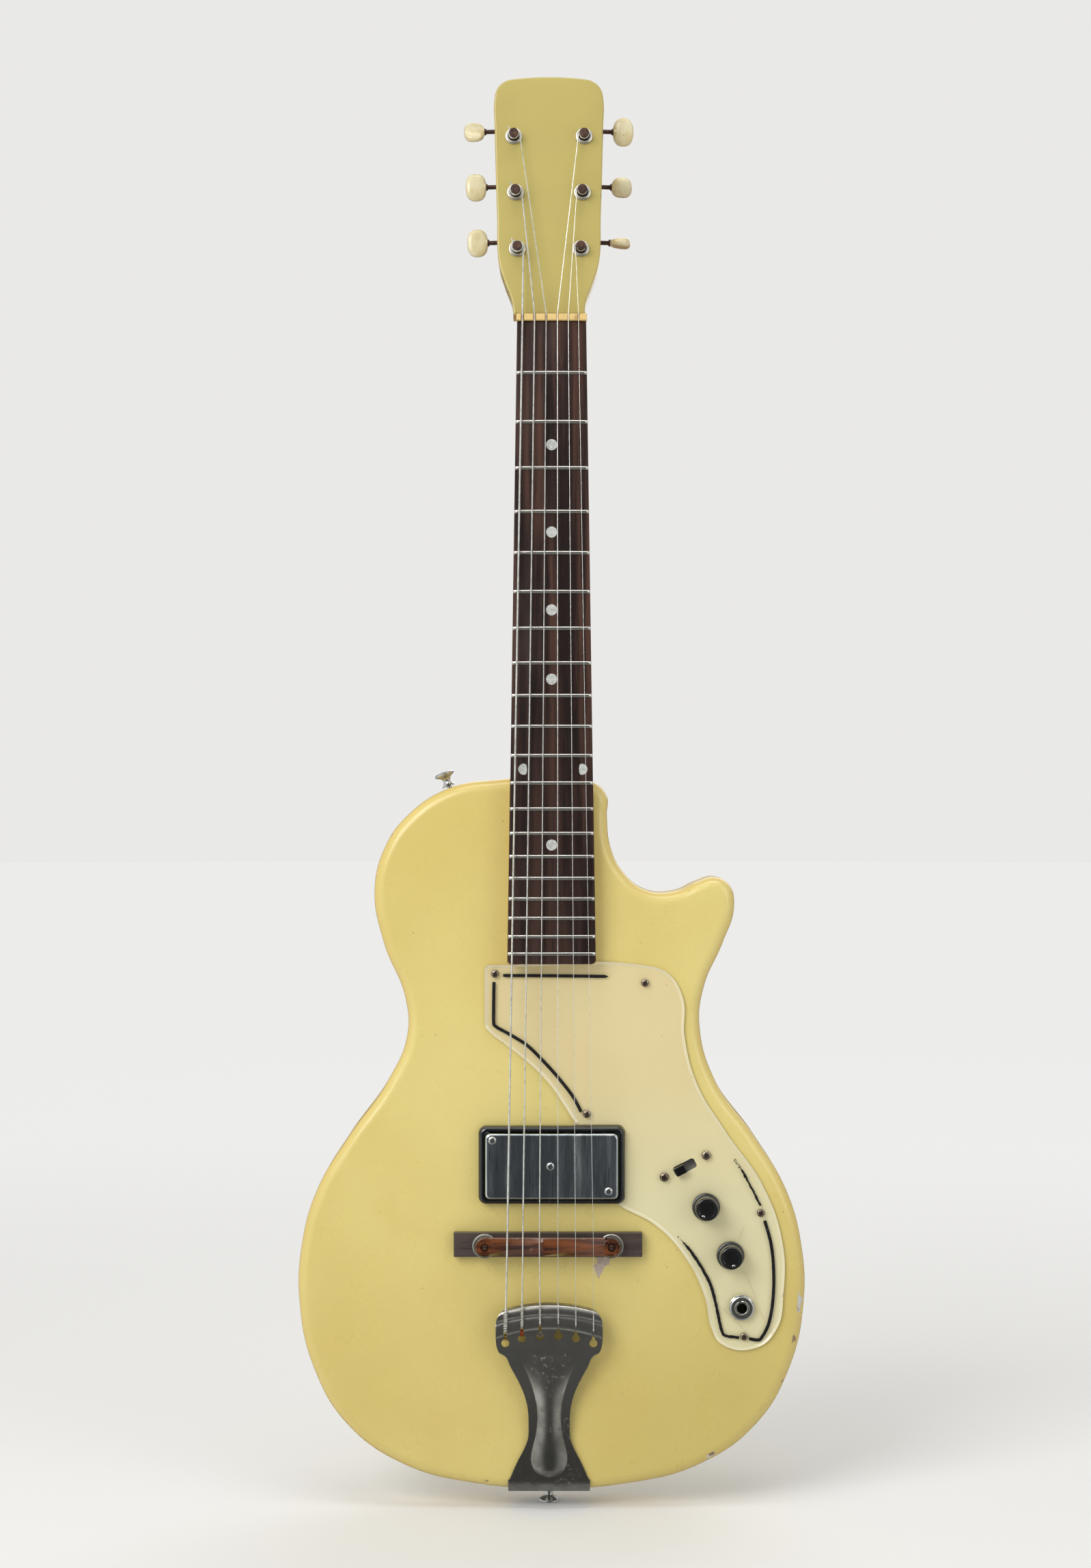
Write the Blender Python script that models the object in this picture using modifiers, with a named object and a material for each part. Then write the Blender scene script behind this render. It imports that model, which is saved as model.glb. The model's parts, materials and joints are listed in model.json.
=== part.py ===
"""A solid-bodied electric guitar with one pickup, a floating wooden bridge and a steel tailpiece.

Sizes are in millimetres and become metres in the helpers. The guitar is laid out on its back: x to
the treble side, y towards the headstock, z out of the front of the body, with y = 0 where a wall
hanger's two arms carry the headstock. The empty called guitar then stands it up: y becomes world +Z
and z becomes world -Y.
"""

import math

import bmesh
import bpy
from mathutils import Matrix, Vector

MM = 0.001
GAP = 0.3  # left between neighbours that touch

# Lengths along the guitar
SCALE_LENGTH = 558.8
NUT_Y = -16.0
JOIN_Y = NUT_Y - SCALE_LENGTH / 2  # the 12th fret, where the neck meets the body

# Neck and fingerboard
BOARD_LENGTH = 389.0
BOARD_WIDTHS = (41.8, 53.3)  # at the nut and at the body end
BOARD_BACK = 6.5
BOARD_TOP = 12.5
BOARD_CROWN = 240.0  # radius across the board
NECK_TOP = BOARD_BACK - GAP
HEEL_BACK = -16.0
NUT_LENGTH = 4.2
NUT_WIDTH = 42.6
NUT_TOP = 14.7
BAR_WIDTH = 9.0
BAR_DEPTH = 8.4
BAR_LENGTH = 350.0

# Headstock, in its own tilted frame
HEAD_TILT = 7.5
HEAD_FACE = 7.2  # height of its face at the nut
HEAD_THICKNESS = 14.5
HEAD_CENTRE_X = -1.6
POST_PITCH = 35.6
MIDDLE_POST_Y = 77.0
POST_X = 20.4  # middle posts, each side of the headstock's centre
STRIP_SLANT = 1.75  # the rows of tuners open towards the tip

# Tuners: the post is at x = 0, y = 0 and the headstock's face at z = 0
POST_RADIUS = 2.9
POST_TOP = 7.4
STRIP_TOP = -HEAD_THICKNESS - GAP
STRIP_THICKNESS = 1.2
GEAR_TEETH = 14
GEAR_TIP_RADIUS = 7.8
GEAR_ROOT_RADIUS = 6.6
GEAR_FACE = 3.0
WORM_OFFSET = 10.5
WORM_Z = -18.8
WORM_RADIUS = 2.4
SHAFT_RADIUS = 1.35
BUTTON_CENTRE_X = 24.2
BUTTON_HALF = (6.5, 8.5, 3.75)
BUTTON_TURNS = {6: 0.0, 5: 0.0, 4: 50.0, 3: 10.0, 2: 55.0, 1: 90.0}

# Body, measured from the 12th fret
BODY_THICKNESS = 38.0
EDGE_RADIUS = 7.0
POCKET_BACK = HEEL_BACK - GAP
BODY_END_Y = -431.0
PICKGUARD_THICKNESS = 2.4
GUARD_TOP = GAP + PICKGUARD_THICKNESS

# Hardware on the body, measured from the 12th fret
PICKUP_Y = -232.0
RING_SIZE = (88.8, 47.4)
RING_TOP = 6.8
COVER_SIZE = (80.5, 39.7)
COVER_TOP = 12.0
VOLUME_AT = (93.8, -257.5)
TONE_AT = (108.6, -286.9)
JACK_AT = (115.5, -318.9)
SWITCH_AT = (81.1, -233.8)
SWITCH_TURN = 27.4
SWITCH_SLOT = (14.2, 6.1)
SLIDER_SIZE = (6.8, 5.3)
BRIDGE_AT = (-2.2, -280.3)
BRIDGE_BASE = (114.5, 14.8, 6.0)
WHEEL_SPREAD = 76.6
WHEEL_RADIUS = 7.5
WHEEL_Z = (9.0, 11.4)
BRIDGE_POST_RADIUS = 2.1
SADDLE_LENGTH = 88.7
SADDLE_WIDTH = 11.4
SADDLE_Z = (11.8, 16.4)
PLATE_SIZE = (51.0, 63.5)
PLATE_Y = -52.0
PLATE_THICKNESS = 2.0
BOLT_SPREAD = (38.0, 50.8)
TAIL_X = -1.5
TAIL_THICKNESS = 1.4
BUTTON_AXIS_Z = -BODY_THICKNESS / 2
UPPER_BUTTON_AT = (-62.9, -2.0)
UPPER_BUTTON_LEAN = 22.0

# Strings, from the treble side: diameter, then x at the nut, the saddle and the tailpiece
STRINGS = {
    1: (0.25, 16.2, 25.1, 25.3),
    2: (0.33, 10.1, 14.4, 14.6),
    3: (0.43, 3.5, 3.8, 4.0),
    4: (0.66, -3.3, -7.4, -7.0),
    5: (0.91, -10.3, -17.4, -18.0),
    6: (1.17, -17.6, -26.8, -28.0),
}
STRING_NUT_Z = 14.3
STRING_SADDLE_Z = 17.4
STRING_TAIL_Z = 13.4

# Outlines, measured from the 12th fret. LOWER_BOUT is the treble half of a symmetrical stretch.
LOWER_BOUT = [(100, -182), (124, -216), (143.5, -249), (152.8, -283), (154, -318), (145.2, -357.5)]
LOWER_BOUT += [(125, -391.5), (90, -416.3), (45, -428), (0, BODY_END_Y)]
TREBLE_SIDE = [(24, 1.3), (33.6, -7.5), (33.8, -20), (36, -39), (43.5, -54), (58, -65.6), (76, -66)]
TREBLE_SIDE += [(89, -60.3), (99.5, -57.5), (108.3, -61.8), (111.6, -75), (104.6, -97.5), (93.2, -124)]
TREBLE_SIDE += [(90.4, -148)]
BASS_SIDE = [(-88.2, -154), (-89.4, -131), (-102.4, -98), (-108.2, -66), (-102, -39.5), (-87.4, -19.2)]
BASS_SIDE += [(-62, -2.9), (-34, 2.0)]
GUARD_EDGE = [(-40.7, -110.8, "corner"), (56, -110.8, "corner"), (70.5, -115.6), (79.8, -130.5)]
GUARD_EDGE += [(80.8, -154), (88.4, -183), (105, -210.7), (128.5, -245), (140.3, -279), (141, -310)]
GUARD_EDGE += [(136.4, -333), (123, -344), (103, -341), (97, -331), (93.2, -312.6), (81.5, -288.7)]
GUARD_EDGE += [(64, -269.5), (44, -258.6, "corner"), (0, PICKUP_Y, "corner"), (14.6, -206.6, "corner")]
GUARD_EDGE += [(-5, -178.8), (-40.7, -149.2, "corner")]
CONTROL_CAVITY = [(66, -239), (72, -226), (88, -219.5), (99, -228), (118, -254), (130.5, -290)]
CONTROL_CAVITY += [(129, -328), (114, -334), (103, -322), (99, -300), (88, -277), (74, -256)]

# Tailpiece, measured from the 12th fret: half width, height and how far its cross lines bow up
TAIL_ROWS = [
    (-318.8, 26.5, 11.0, 6.0),
    (-321.5, 30.2, 12.3, 6.0),
    (-326, 32.2, 12.4, 6.0),
    (-331, 32.4, 11.6, 6.0),
    (-336, 32.4, 11.2, 6.0),
    (-341, 31.8, 11.0, 5.0),
    (-344.5, 30.4, 10.8, 3.0),
    (-346.5, 26.7, 10.5, 1.0),
    (-353.5, 23.5, 9.6, 0.0),
    (-362, 18.8, 8.4, 0.0),
    (-371, 15.0, 7.0, 0.0),
    (-380, 13.0, 5.6, 0.0),
    (-389, 12.5, 4.2, 0.0),
    (-398, 12.8, 2.9, 0.0),
    (-405, 15.2, 2.0, 0.0),
    (-412, 18.8, 1.4, 0.0),
    (-420, 22.4, 1.15, 0.0),
]
TAIL_FOOT_HALF = 25.0
TAIL_FOOT_BACK = -29.0
TAIL_COLUMNS = (-1, -0.75, -0.5, -0.25, 0, 0.25, 0.5, 0.75, 1)
RIB_HEIGHT = 2.6
KEYHOLE_RADIUS = 2.4
KEYHOLE_SLOT = (1.9, 7.0)


# ---------------------------------------------------------------- helpers


def clear_scene():
    for obj in list(bpy.data.objects):
        bpy.data.objects.remove(obj, do_unlink=True)


def collection(name):
    made = bpy.data.collections.new(name)
    bpy.context.scene.collection.children.link(made)
    return made


def finish(name, colour, roughness, metallic=0.0):
    """A material with one colour."""
    made = bpy.data.materials.new(name)
    made.use_nodes = True
    shader = made.node_tree.nodes["Principled BSDF"]
    shader.inputs["Base Color"].default_value = (*colour, 1)
    shader.inputs["Roughness"].default_value = roughness
    shader.inputs["Metallic"].default_value = metallic
    return made


def empty(name, parent=None, at=(0, 0, 0), turn=(0, 0, 0)):
    made = bpy.data.objects.new(name, None)
    parts.objects.link(made)
    return placed(made, parent, at, turn)


def placed(obj, parent, at=(0, 0, 0), turn=(0, 0, 0)):
    """Puts the object in its parent's frame: at is in millimetres and turn in degrees."""
    obj.parent = parent
    obj.location = Vector(at) * MM
    obj.rotation_euler = [math.radians(angle) for angle in turn]
    return obj


def part(name, mesh, look, parent, at=(0, 0, 0), turn=(0, 0, 0)):
    """A piece of the guitar."""
    made = bpy.data.objects.new(name, mesh)
    mesh.materials.append(look)
    parts.objects.link(made)
    return placed(made, parent, at, turn)


def tool(name, mesh, parent, at=(0, 0, 0), turn=(0, 0, 0)):
    """A shape that only cuts or joins."""
    made = bpy.data.objects.new(name, mesh)
    tools.objects.link(made)
    made.hide_render = True
    made.display_type = "WIRE"
    return placed(made, parent, at, turn)


def combine(obj, operation, *others):
    for other in others:
        modifier = obj.modifiers.new(f"{operation.lower()}_{other.name}", "BOOLEAN")
        modifier.operation = operation
        modifier.object = other


def cut(obj, *others):
    combine(obj, "DIFFERENCE", *others)


def fuse(obj, *others):
    combine(obj, "UNION", *others)


def smooth(mesh, angle=35):
    mesh.shade_smooth()
    mesh.set_sharp_from_angle(angle=math.radians(angle))
    return mesh


def mesh_from(name, build):
    """A mesh made by a function that fills a bmesh in millimetres."""
    work = bmesh.new()
    build(work)
    bmesh.ops.scale(work, vec=(MM, MM, MM), verts=work.verts)
    bmesh.ops.recalc_face_normals(work, faces=work.faces)
    mesh = bpy.data.meshes.new(name)
    work.to_mesh(mesh)
    work.free()
    return mesh


def box_mesh(name, size, centre=(0, 0, 0)):
    def build(work):
        place = Matrix.Translation(centre) @ Matrix.Diagonal((*size, 1))
        bmesh.ops.create_cube(work, size=1, matrix=place)

    return mesh_from(name, build)


def rod_mesh(name, radius, bottom, top, sides=20):
    """A cylinder along z."""

    def build(work):
        place = Matrix.Translation((0, 0, (bottom + top) / 2))
        sizes = {"radius1": radius, "radius2": radius, "depth": top - bottom}
        bmesh.ops.create_cone(work, cap_ends=True, segments=sides, matrix=place, **sizes)

    return smooth(mesh_from(name, build))


def loft_mesh(name, rings, angle=35):
    """A closed solid through rings of points that all have the same count."""

    def build(work):
        rows = [[work.verts.new(point) for point in ring] for ring in rings]
        count = len(rows[0])
        for first, second in zip(rows, rows[1:]):
            for i in range(count):
                j = (i + 1) % count
                work.faces.new((first[i], first[j], second[j], second[i]))
        work.faces.new(rows[0])
        work.faces.new(reversed(rows[-1]))

    return smooth(mesh_from(name, build), angle)


def curve_mesh(name, curve):
    """The curve's solid as a mesh whose caps are welded on."""
    guide = bpy.data.objects.new(name, curve)
    tools.objects.link(guide)
    evaluated = guide.evaluated_get(bpy.context.evaluated_depsgraph_get())
    mesh = bpy.data.meshes.new_from_object(evaluated)
    mesh.materials.clear()
    bpy.data.objects.remove(guide)
    work = bmesh.new()
    work.from_mesh(mesh)
    bmesh.ops.remove_doubles(work, verts=work.verts, dist=1e-6)
    bmesh.ops.dissolve_degenerate(work, edges=work.edges, dist=1e-6)
    bmesh.ops.dissolve_limit(work, angle_limit=math.radians(0.3), verts=work.verts, edges=work.edges)
    bmesh.ops.recalc_face_normals(work, faces=work.faces)
    work.to_mesh(mesh)
    work.free()
    return smooth(mesh)


def outline_mesh(name, knots, bottom, top, edge=0.0, steps=3, straight=False):
    """A flat piece with this outline. Edge rounds its rims, and a knot marked corner stays sharp."""
    curve = bpy.data.curves.new(name, "CURVE")
    curve.dimensions = "2D"
    curve.fill_mode = "BOTH"
    curve.resolution_u = 1 if straight else steps
    curve.extrude = ((top - bottom) / 2 - edge) * MM
    curve.bevel_depth = edge * MM
    curve.bevel_resolution = 2
    curve.offset = -edge * MM
    spline = curve.splines.new("BEZIER")
    spline.bezier_points.add(len(knots) - 1)
    spline.use_cyclic_u = True
    for point, knot in zip(spline.bezier_points, knots):
        point.co = (knot[0] * MM, knot[1] * MM, 0)
        kind = "VECTOR" if straight or len(knot) > 2 else "AUTO"
        point.handle_left_type = kind
        point.handle_right_type = kind
    mesh = curve_mesh(name, curve)
    mesh.transform(Matrix.Translation((0, 0, (bottom + top) / 2 * MM)))
    return mesh


def rounded_rectangle(width, height, radius, steps=4):
    """Corner points of a rectangle with round corners, anticlockwise."""
    points = []
    for quarter in range(4):
        across, up = ((1, 1), (-1, 1), (-1, -1), (1, -1))[quarter]
        for step in range(steps + 1):
            angle = math.radians(90 * (quarter + step / steps))
            x = across * (width / 2 - radius) + radius * math.cos(angle)
            y = up * (height / 2 - radius) + radius * math.sin(angle)
            points.append((x, y))
    return points


def turned(name, profile, look, parent, at=(0, 0, 0), turn=(0, 0, 0), steps=24, ring=False):
    """A turned piece: the profile of (radius, z) runs down its outer side. A ring's profile is closed."""
    mesh = bpy.data.meshes.new(name)
    count = len(profile)
    edges = [(i, (i + 1) % count) for i in range(count if ring else count - 1)]
    mesh.from_pydata([(r * MM, 0, z * MM) for r, z in profile], edges, [])
    made = part(name, mesh, look, parent, at, turn)
    screw = made.modifiers.new("turn", "SCREW")
    screw.steps = steps
    screw.render_steps = steps
    screw.use_merge_vertices = True
    screw.merge_threshold = 1e-5
    return made


def wire_mesh(name, points, radius):
    """A round wire along straight runs."""
    curve = bpy.data.curves.new(name, "CURVE")
    curve.dimensions = "3D"
    curve.bevel_depth = radius * MM
    curve.bevel_resolution = 2
    curve.use_fill_caps = True
    spline = curve.splines.new("POLY")
    spline.points.add(len(points) - 1)
    for point, place in zip(spline.points, points):
        point.co = (*(Vector(place) * MM), 1)
    return curve_mesh(name, curve)


def board_half(y):
    """Half the fingerboard's width, y from the nut."""
    nut_half, end_half = (width / 2 for width in BOARD_WIDTHS)
    return nut_half + (end_half - nut_half) * -y / BOARD_LENGTH


# ---------------------------------------------------------------- frames and finishes

clear_scene()
parts = collection("electric_guitar")
tools = collection("cutters")

guitar = empty("guitar", turn=(90, 0, 0))
neck_frame = empty("neck_frame", guitar, (0, NUT_Y, 0))
head_frame = empty("head_frame", neck_frame, (HEAD_CENTRE_X, NUT_LENGTH + GAP, HEAD_FACE), (-HEAD_TILT, 0, 0))
body_frame = empty("body_frame", guitar, (0, JOIN_Y, 0))

cream_paint = finish("cream_paint", (0.76, 0.60, 0.22), 0.35)
maple = finish("maple", (0.50, 0.30, 0.13), 0.45)
rosewood = finish("rosewood", (0.09, 0.035, 0.022), 0.5)
saddle_wood = finish("saddle_wood", (0.20, 0.065, 0.035), 0.45)
nut_plastic = finish("nut_plastic", (0.75, 0.72, 0.60), 0.45)
guard_plastic = finish("guard_plastic", (0.69, 0.575, 0.30), 0.3)
black_plastic = finish("black_plastic", (0.015, 0.014, 0.013), 0.2)
button_plastic = finish("button_plastic", (0.78, 0.70, 0.48), 0.4)
chrome = finish("chrome", (0.75, 0.75, 0.74), 0.15, 1.0)
aged_nickel = finish("aged_nickel", (0.23, 0.22, 0.20), 0.4, 1.0)
steel = finish("steel", (0.45, 0.43, 0.40), 0.35, 1.0)
bronze = finish("bronze", (0.30, 0.18, 0.08), 0.35, 1.0)
copper_wire = finish("copper_wire", (0.45, 0.16, 0.06), 0.4, 1.0)
magnet_grey = finish("magnet_grey", (0.12, 0.12, 0.12), 0.6)
string_steel = finish("string_steel", (0.60, 0.60, 0.58), 0.25, 1.0)


# ---------------------------------------------------------------- neck


def neck_ring(y, half, top, bottom, squareness):
    """A flat front with a back that goes from a D (squareness 2.3) to a block (8)."""
    points = []
    sides = 12
    for i in range(sides + 1):
        angle = math.pi * i / sides
        across = math.copysign(abs(math.cos(angle)) ** (2 / squareness), math.cos(angle))
        down = abs(math.sin(angle)) ** (2 / squareness)
        points.append((half * across, y, top - (top - bottom) * down))
    return points


def make_neck():
    join = -SCALE_LENGTH / 2
    heel_end = GAP - BOARD_LENGTH
    stations = [
        (24, 13.0, 2.5, -9.6, 2.3),
        (13, 18.5, 5.0, -10.2, 2.3),
        (NUT_LENGTH, 20.9, NECK_TOP, -9.6, 2.3),
        (0, 20.9, NECK_TOP, -9.0, 2.3),
        (-120, board_half(-120), NECK_TOP, -9.8, 2.3),
        (join + 50, board_half(join + 50), NECK_TOP, -10.6, 2.3),
        (join + 26, board_half(join + 26), NECK_TOP, -11.6, 2.6),
        (join + 12, board_half(join + 12), NECK_TOP, -14.0, 4.0),
        (join + 3, board_half(join + 3), NECK_TOP, HEEL_BACK, 8.0),
        (heel_end, board_half(heel_end), NECK_TOP, HEEL_BACK, 8.0),
    ]
    neck = part("neck", loft_mesh("neck", [neck_ring(*s) for s in stations]), maple, neck_frame)

    half_outline = [(21.6, 0), (22.4, 8), (26.6, 20), (30.4, 33), (31.6, 62), (33.2, 118), (33.4, 136.5)]
    half_outline += [(31.8, 143.2), (27.2, 147.9), (20.9, 149.6)]
    outline = half_outline + [(-x, y) for x, y in reversed(half_outline)]
    corners = (0, len(outline) - 1)
    knots = [(x, y, "corner") if i in corners else (x, y) for i, (x, y) in enumerate(outline)]
    head = outline_mesh("head_blank", knots, -HEAD_THICKNESS, 0, edge=1.2, steps=2)
    fuse(neck, tool("head_blank", head, head_frame))

    bar_size = (BAR_WIDTH + 2 * GAP, BAR_LENGTH + 2 * GAP, 2 * (BAR_DEPTH + GAP))
    channel = box_mesh("bar_channel", bar_size, (0, -12 - BAR_LENGTH / 2, NECK_TOP))
    cut(neck, tool("bar_channel", channel, neck_frame))
    bar_centre = (0, -12 - BAR_LENGTH / 2, NECK_TOP - BAR_DEPTH / 2)
    bar = box_mesh("reinforcement_bar", (BAR_WIDTH, BAR_LENGTH, BAR_DEPTH), bar_centre)
    part("neck_reinforcement_bar", bar, steel, neck_frame)
    return neck


def make_fingerboard():
    def ring(y, half):
        steps = 8
        top = []
        for i in range(steps + 1):
            x = half * (1 - 2 * i / steps)
            top.append((x, y, BOARD_TOP - BOARD_CROWN + math.sqrt(BOARD_CROWN**2 - x * x)))
        return [*top, (-half, y, BOARD_BACK), (half, y, BOARD_BACK)]

    end = -BOARD_LENGTH
    rings = [ring(-GAP, board_half(0)), ring(end + 2.5, board_half(end))]
    rings += [ring(end + 0.7, board_half(end) - 0.7), ring(end, board_half(end) - 2.5)]
    part("fingerboard", loft_mesh("fingerboard", rings), rosewood, neck_frame)


def make_nut():
    middle = (BOARD_BACK + NUT_TOP) / 2
    size = (NUT_WIDTH, NUT_LENGTH, NUT_TOP - BOARD_BACK)
    nut = part("nut", box_mesh("nut", size, (0, NUT_LENGTH / 2, middle)), nut_plastic, neck_frame)
    bevel = nut.modifiers.new("edges", "BEVEL")
    bevel.width = 0.5 * MM
    bevel.segments = 1
    for number, (diameter, nut_x, _, _) in STRINGS.items():
        slot = rod_mesh(f"nut_slot_{number}", diameter / 2 + 0.25, -5, 5, 8)
        at = (nut_x, NUT_LENGTH / 2, STRING_NUT_Z + 0.1)
        cut(nut, tool(f"nut_slot_{number}", slot, neck_frame, at, (90, 0, 0)))


# ---------------------------------------------------------------- tuners


def gear_outline():
    points = []
    for tooth in range(GEAR_TEETH):
        for share, radius in ((-0.38, GEAR_ROOT_RADIUS), (-0.17, GEAR_TIP_RADIUS)):
            points.append((share, radius, tooth))
        for share, radius in ((0.17, GEAR_TIP_RADIUS), (0.38, GEAR_ROOT_RADIUS)):
            points.append((share, radius, tooth))
    pitch = math.tau / GEAR_TEETH
    return [
        (radius * math.cos((tooth + share) * pitch), radius * math.sin((tooth + share) * pitch))
        for share, radius, tooth in points
    ]


def button_rings(side):
    """The worm shaft and its oval button, along x from its inner end."""
    stations = [(-7.5, SHAFT_RADIUS, SHAFT_RADIUS), (-3.6, SHAFT_RADIUS, SHAFT_RADIUS)]
    for turn in range(3):
        start = -3.4 + 2.4 * turn
        stations += [(start, WORM_RADIUS - 0.7, WORM_RADIUS - 0.7), (start + 1.2, WORM_RADIUS, WORM_RADIUS)]
    stations += [(3.6, SHAFT_RADIUS, SHAFT_RADIUS), (16.6, SHAFT_RADIUS, SHAFT_RADIUS), (16.9, 2.5, 2.3)]
    length, width, thick = BUTTON_HALF
    for share in (-0.93, -0.65, -0.2, 0.3, 0.75, 0.98):
        grown = math.sqrt(1 - share * share)
        stations.append((BUTTON_CENTRE_X + share * length, width * grown, thick * grown**0.8))
    sides = 10
    rings = []
    for x, half_y, half_z in stations:
        angles = [math.tau * (i + 0.5) / sides for i in range(sides)]
        rings.append([(side * x, half_y * math.cos(a), half_z * math.sin(a)) for a in angles])
    return rings


def tuner_bushing_profile():
    flange, sleeve, bore, back = 5.15, 4.2, POST_RADIUS + 0.4, -9.0
    return [(bore, 1.9), (flange - 0.9, 1.9), (flange, GAP), (sleeve, GAP), (sleeve, back), (bore, back)]


def make_tuner(number, side, strip_frame, y, plate, neck):
    at = (0, y, 0)
    turned(f"tuner_bushing_{number}", tuner_bushing_profile(), chrome, strip_frame, at, steps=14, ring=True)
    hole = rod_mesh(f"head_hole_{number}", 4.6, -HEAD_THICKNESS - 2, 2, 12)
    cut(neck, tool(f"head_hole_{number}", hole, strip_frame, at))
    plate_hole = rod_mesh(f"plate_hole_{number}", POST_RADIUS + 0.4, STRIP_TOP - 3, STRIP_TOP + 1, 12)
    cut(plate, tool(f"plate_hole_{number}", plate_hole, strip_frame, at))

    post_mesh = rod_mesh(f"tuner_post_{number}", POST_RADIUS, WORM_Z - GEAR_FACE, POST_TOP, 12)
    post = part(f"tuner_post_{number}", post_mesh, steel, strip_frame, at, (0, 0, 90 * side))
    gear_z = (WORM_Z - GEAR_FACE / 2, WORM_Z + GEAR_FACE / 2)
    gear = outline_mesh(f"gear_{number}", gear_outline(), *gear_z, straight=True)
    fuse(post, tool(f"gear_{number}", gear, strip_frame, at))

    shaft = loft_mesh(f"tuner_button_{number}", button_rings(side))
    worm_at = (0, y + WORM_OFFSET, WORM_Z)
    button_turn = (side * BUTTON_TURNS[number], 0, 0)
    part(f"tuner_button_{number}", shaft, button_plastic, strip_frame, worm_at, button_turn)


def make_strip(name, side, neck):
    """A steel strip behind the headstock that carries three tuners."""
    at = (side * POST_X, MIDDLE_POST_Y, 0)
    strip_frame = empty(f"{name}_frame", head_frame, at, (0, 0, -side * STRIP_SLANT))
    outline = rounded_rectangle(17.0, 2 * POST_PITCH + 34, 3, 2)
    mesh = outline_mesh(name, outline, STRIP_TOP - STRIP_THICKNESS, STRIP_TOP, straight=True)
    mesh.transform(Matrix.Translation((0, 4 * MM, 0)))
    plate = part(name, mesh, steel, strip_frame)
    ear_top = STRIP_TOP - STRIP_THICKNESS / 2
    ear_bottom = WORM_Z - 3.0
    for place in range(3):
        y = (place - 1) * POST_PITCH
        for x in (-5.6, 5.6):
            label = f"{name}_ear_{place}_{'in' if x * side < 0 else 'out'}"
            centre = (x, y + WORM_OFFSET, (ear_top + ear_bottom) / 2)
            ear = box_mesh(label, (1.6, 6.4, ear_top - ear_bottom), centre)
            fuse(plate, tool(label, ear, strip_frame))
        bore = rod_mesh(f"{name}_bore_{place}", SHAFT_RADIUS + GAP, -9, 9, 8)
        cut(plate, tool(f"{name}_bore_{place}", bore, strip_frame, (0, y + WORM_OFFSET, WORM_Z), (0, 90, 0)))
    numbers = (6, 5, 4) if side < 0 else (1, 2, 3)
    for place, number in enumerate(numbers):
        make_tuner(number, side, strip_frame, (place - 1) * POST_PITCH, plate, neck)


# ---------------------------------------------------------------- body


def make_body():
    bass_bout = [(-x, y) for x, y in reversed(LOWER_BOUT[:-1])]
    outline = TREBLE_SIDE + LOWER_BOUT + bass_bout + BASS_SIDE
    mesh = outline_mesh("body", outline, -BODY_THICKNESS, 0, edge=EDGE_RADIUS)
    body = part("body", mesh, cream_paint, body_frame)

    heel_end = GAP - BOARD_LENGTH + SCALE_LENGTH / 2
    stations = ((10, board_half(10 - SCALE_LENGTH / 2)), (heel_end - GAP, board_half(GAP - BOARD_LENGTH)))
    rings = []
    for y, half in stations:
        wide = half + GAP
        rings.append([(-wide, y, 5), (wide, y, 5), (wide, y, POCKET_BACK), (-wide, y, POCKET_BACK)])
    cut(body, tool("neck_pocket", loft_mesh("neck_pocket", rings), body_frame))

    pickup = box_mesh("pickup_cavity", (COVER_SIZE[0] + 2, COVER_SIZE[1] + 2, 40), (0, PICKUP_Y, 4))
    cut(body, tool("pickup_cavity", pickup, body_frame))
    control = outline_mesh("control_cavity", CONTROL_CAVITY, -30, 5)
    cut(body, tool("control_cavity", control, body_frame))
    wire_way = box_mesh("wire_way", (40, 10, 20), (56, PICKUP_Y - 9, -2))
    cut(body, tool("wire_way", wire_way, body_frame))
    return body


def make_neck_plate(body, neck):
    plate_top = -BODY_THICKNESS - GAP
    outline = rounded_rectangle(*PLATE_SIZE, 5)
    mesh = outline_mesh("neck_plate", outline, plate_top - PLATE_THICKNESS, plate_top, straight=True)
    plate = part("neck_plate", mesh, chrome, body_frame, (0, PLATE_Y, 0))
    head_z = plate_top - PLATE_THICKNESS - GAP
    profile = [(0, 3.0), (1.6, 1.0), (2.1, -1.0), (2.1, head_z)]
    profile += [(4.6, head_z), (3.9, head_z - 2), (0, head_z - 2.7)]
    corners = [(x, y) for y in (1, -1) for x in (-1, 1)]
    for number, (x, y) in enumerate(corners, 1):
        at = (x * BOLT_SPREAD[0] / 2, PLATE_Y + y * BOLT_SPREAD[1] / 2, 0)
        turned(f"neck_bolt_{number}", profile, chrome, body_frame, at, steps=12)
        hole = tool(f"bolt_hole_{number}", rod_mesh(f"bolt_hole_{number}", 2.5, -45, 4.2, 12), body_frame, at)
        cut(plate, hole)
        cut(body, hole)
        cut(neck, hole)


def make_pickguard():
    mesh = outline_mesh("pickguard", GUARD_EDGE, GAP, GUARD_TOP)
    guard = part("pickguard", mesh, guard_plastic, body_frame)
    ring_size = (RING_SIZE[0] + 2 * GAP, RING_SIZE[1] + 2 * GAP)
    ring = outline_mesh("ring_notch", rounded_rectangle(*ring_size, 4.3), -3, 5, straight=True)
    cut(guard, tool("ring_notch", ring, body_frame, (0, PICKUP_Y, 0)))
    for name, place, radius in (("volume", VOLUME_AT, 5.0), ("tone", TONE_AT, 5.0), ("jack", JACK_AT, 4.8)):
        hole = rod_mesh(f"{name}_hole", radius, -3, 5)
        cut(guard, tool(f"{name}_hole", hole, body_frame, (*place, 0)))
    slot = box_mesh("switch_slot", (*SWITCH_SLOT, 8))
    cut(guard, tool("switch_slot", slot, body_frame, (*SWITCH_AT, 1), (0, 0, SWITCH_TURN)))


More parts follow.
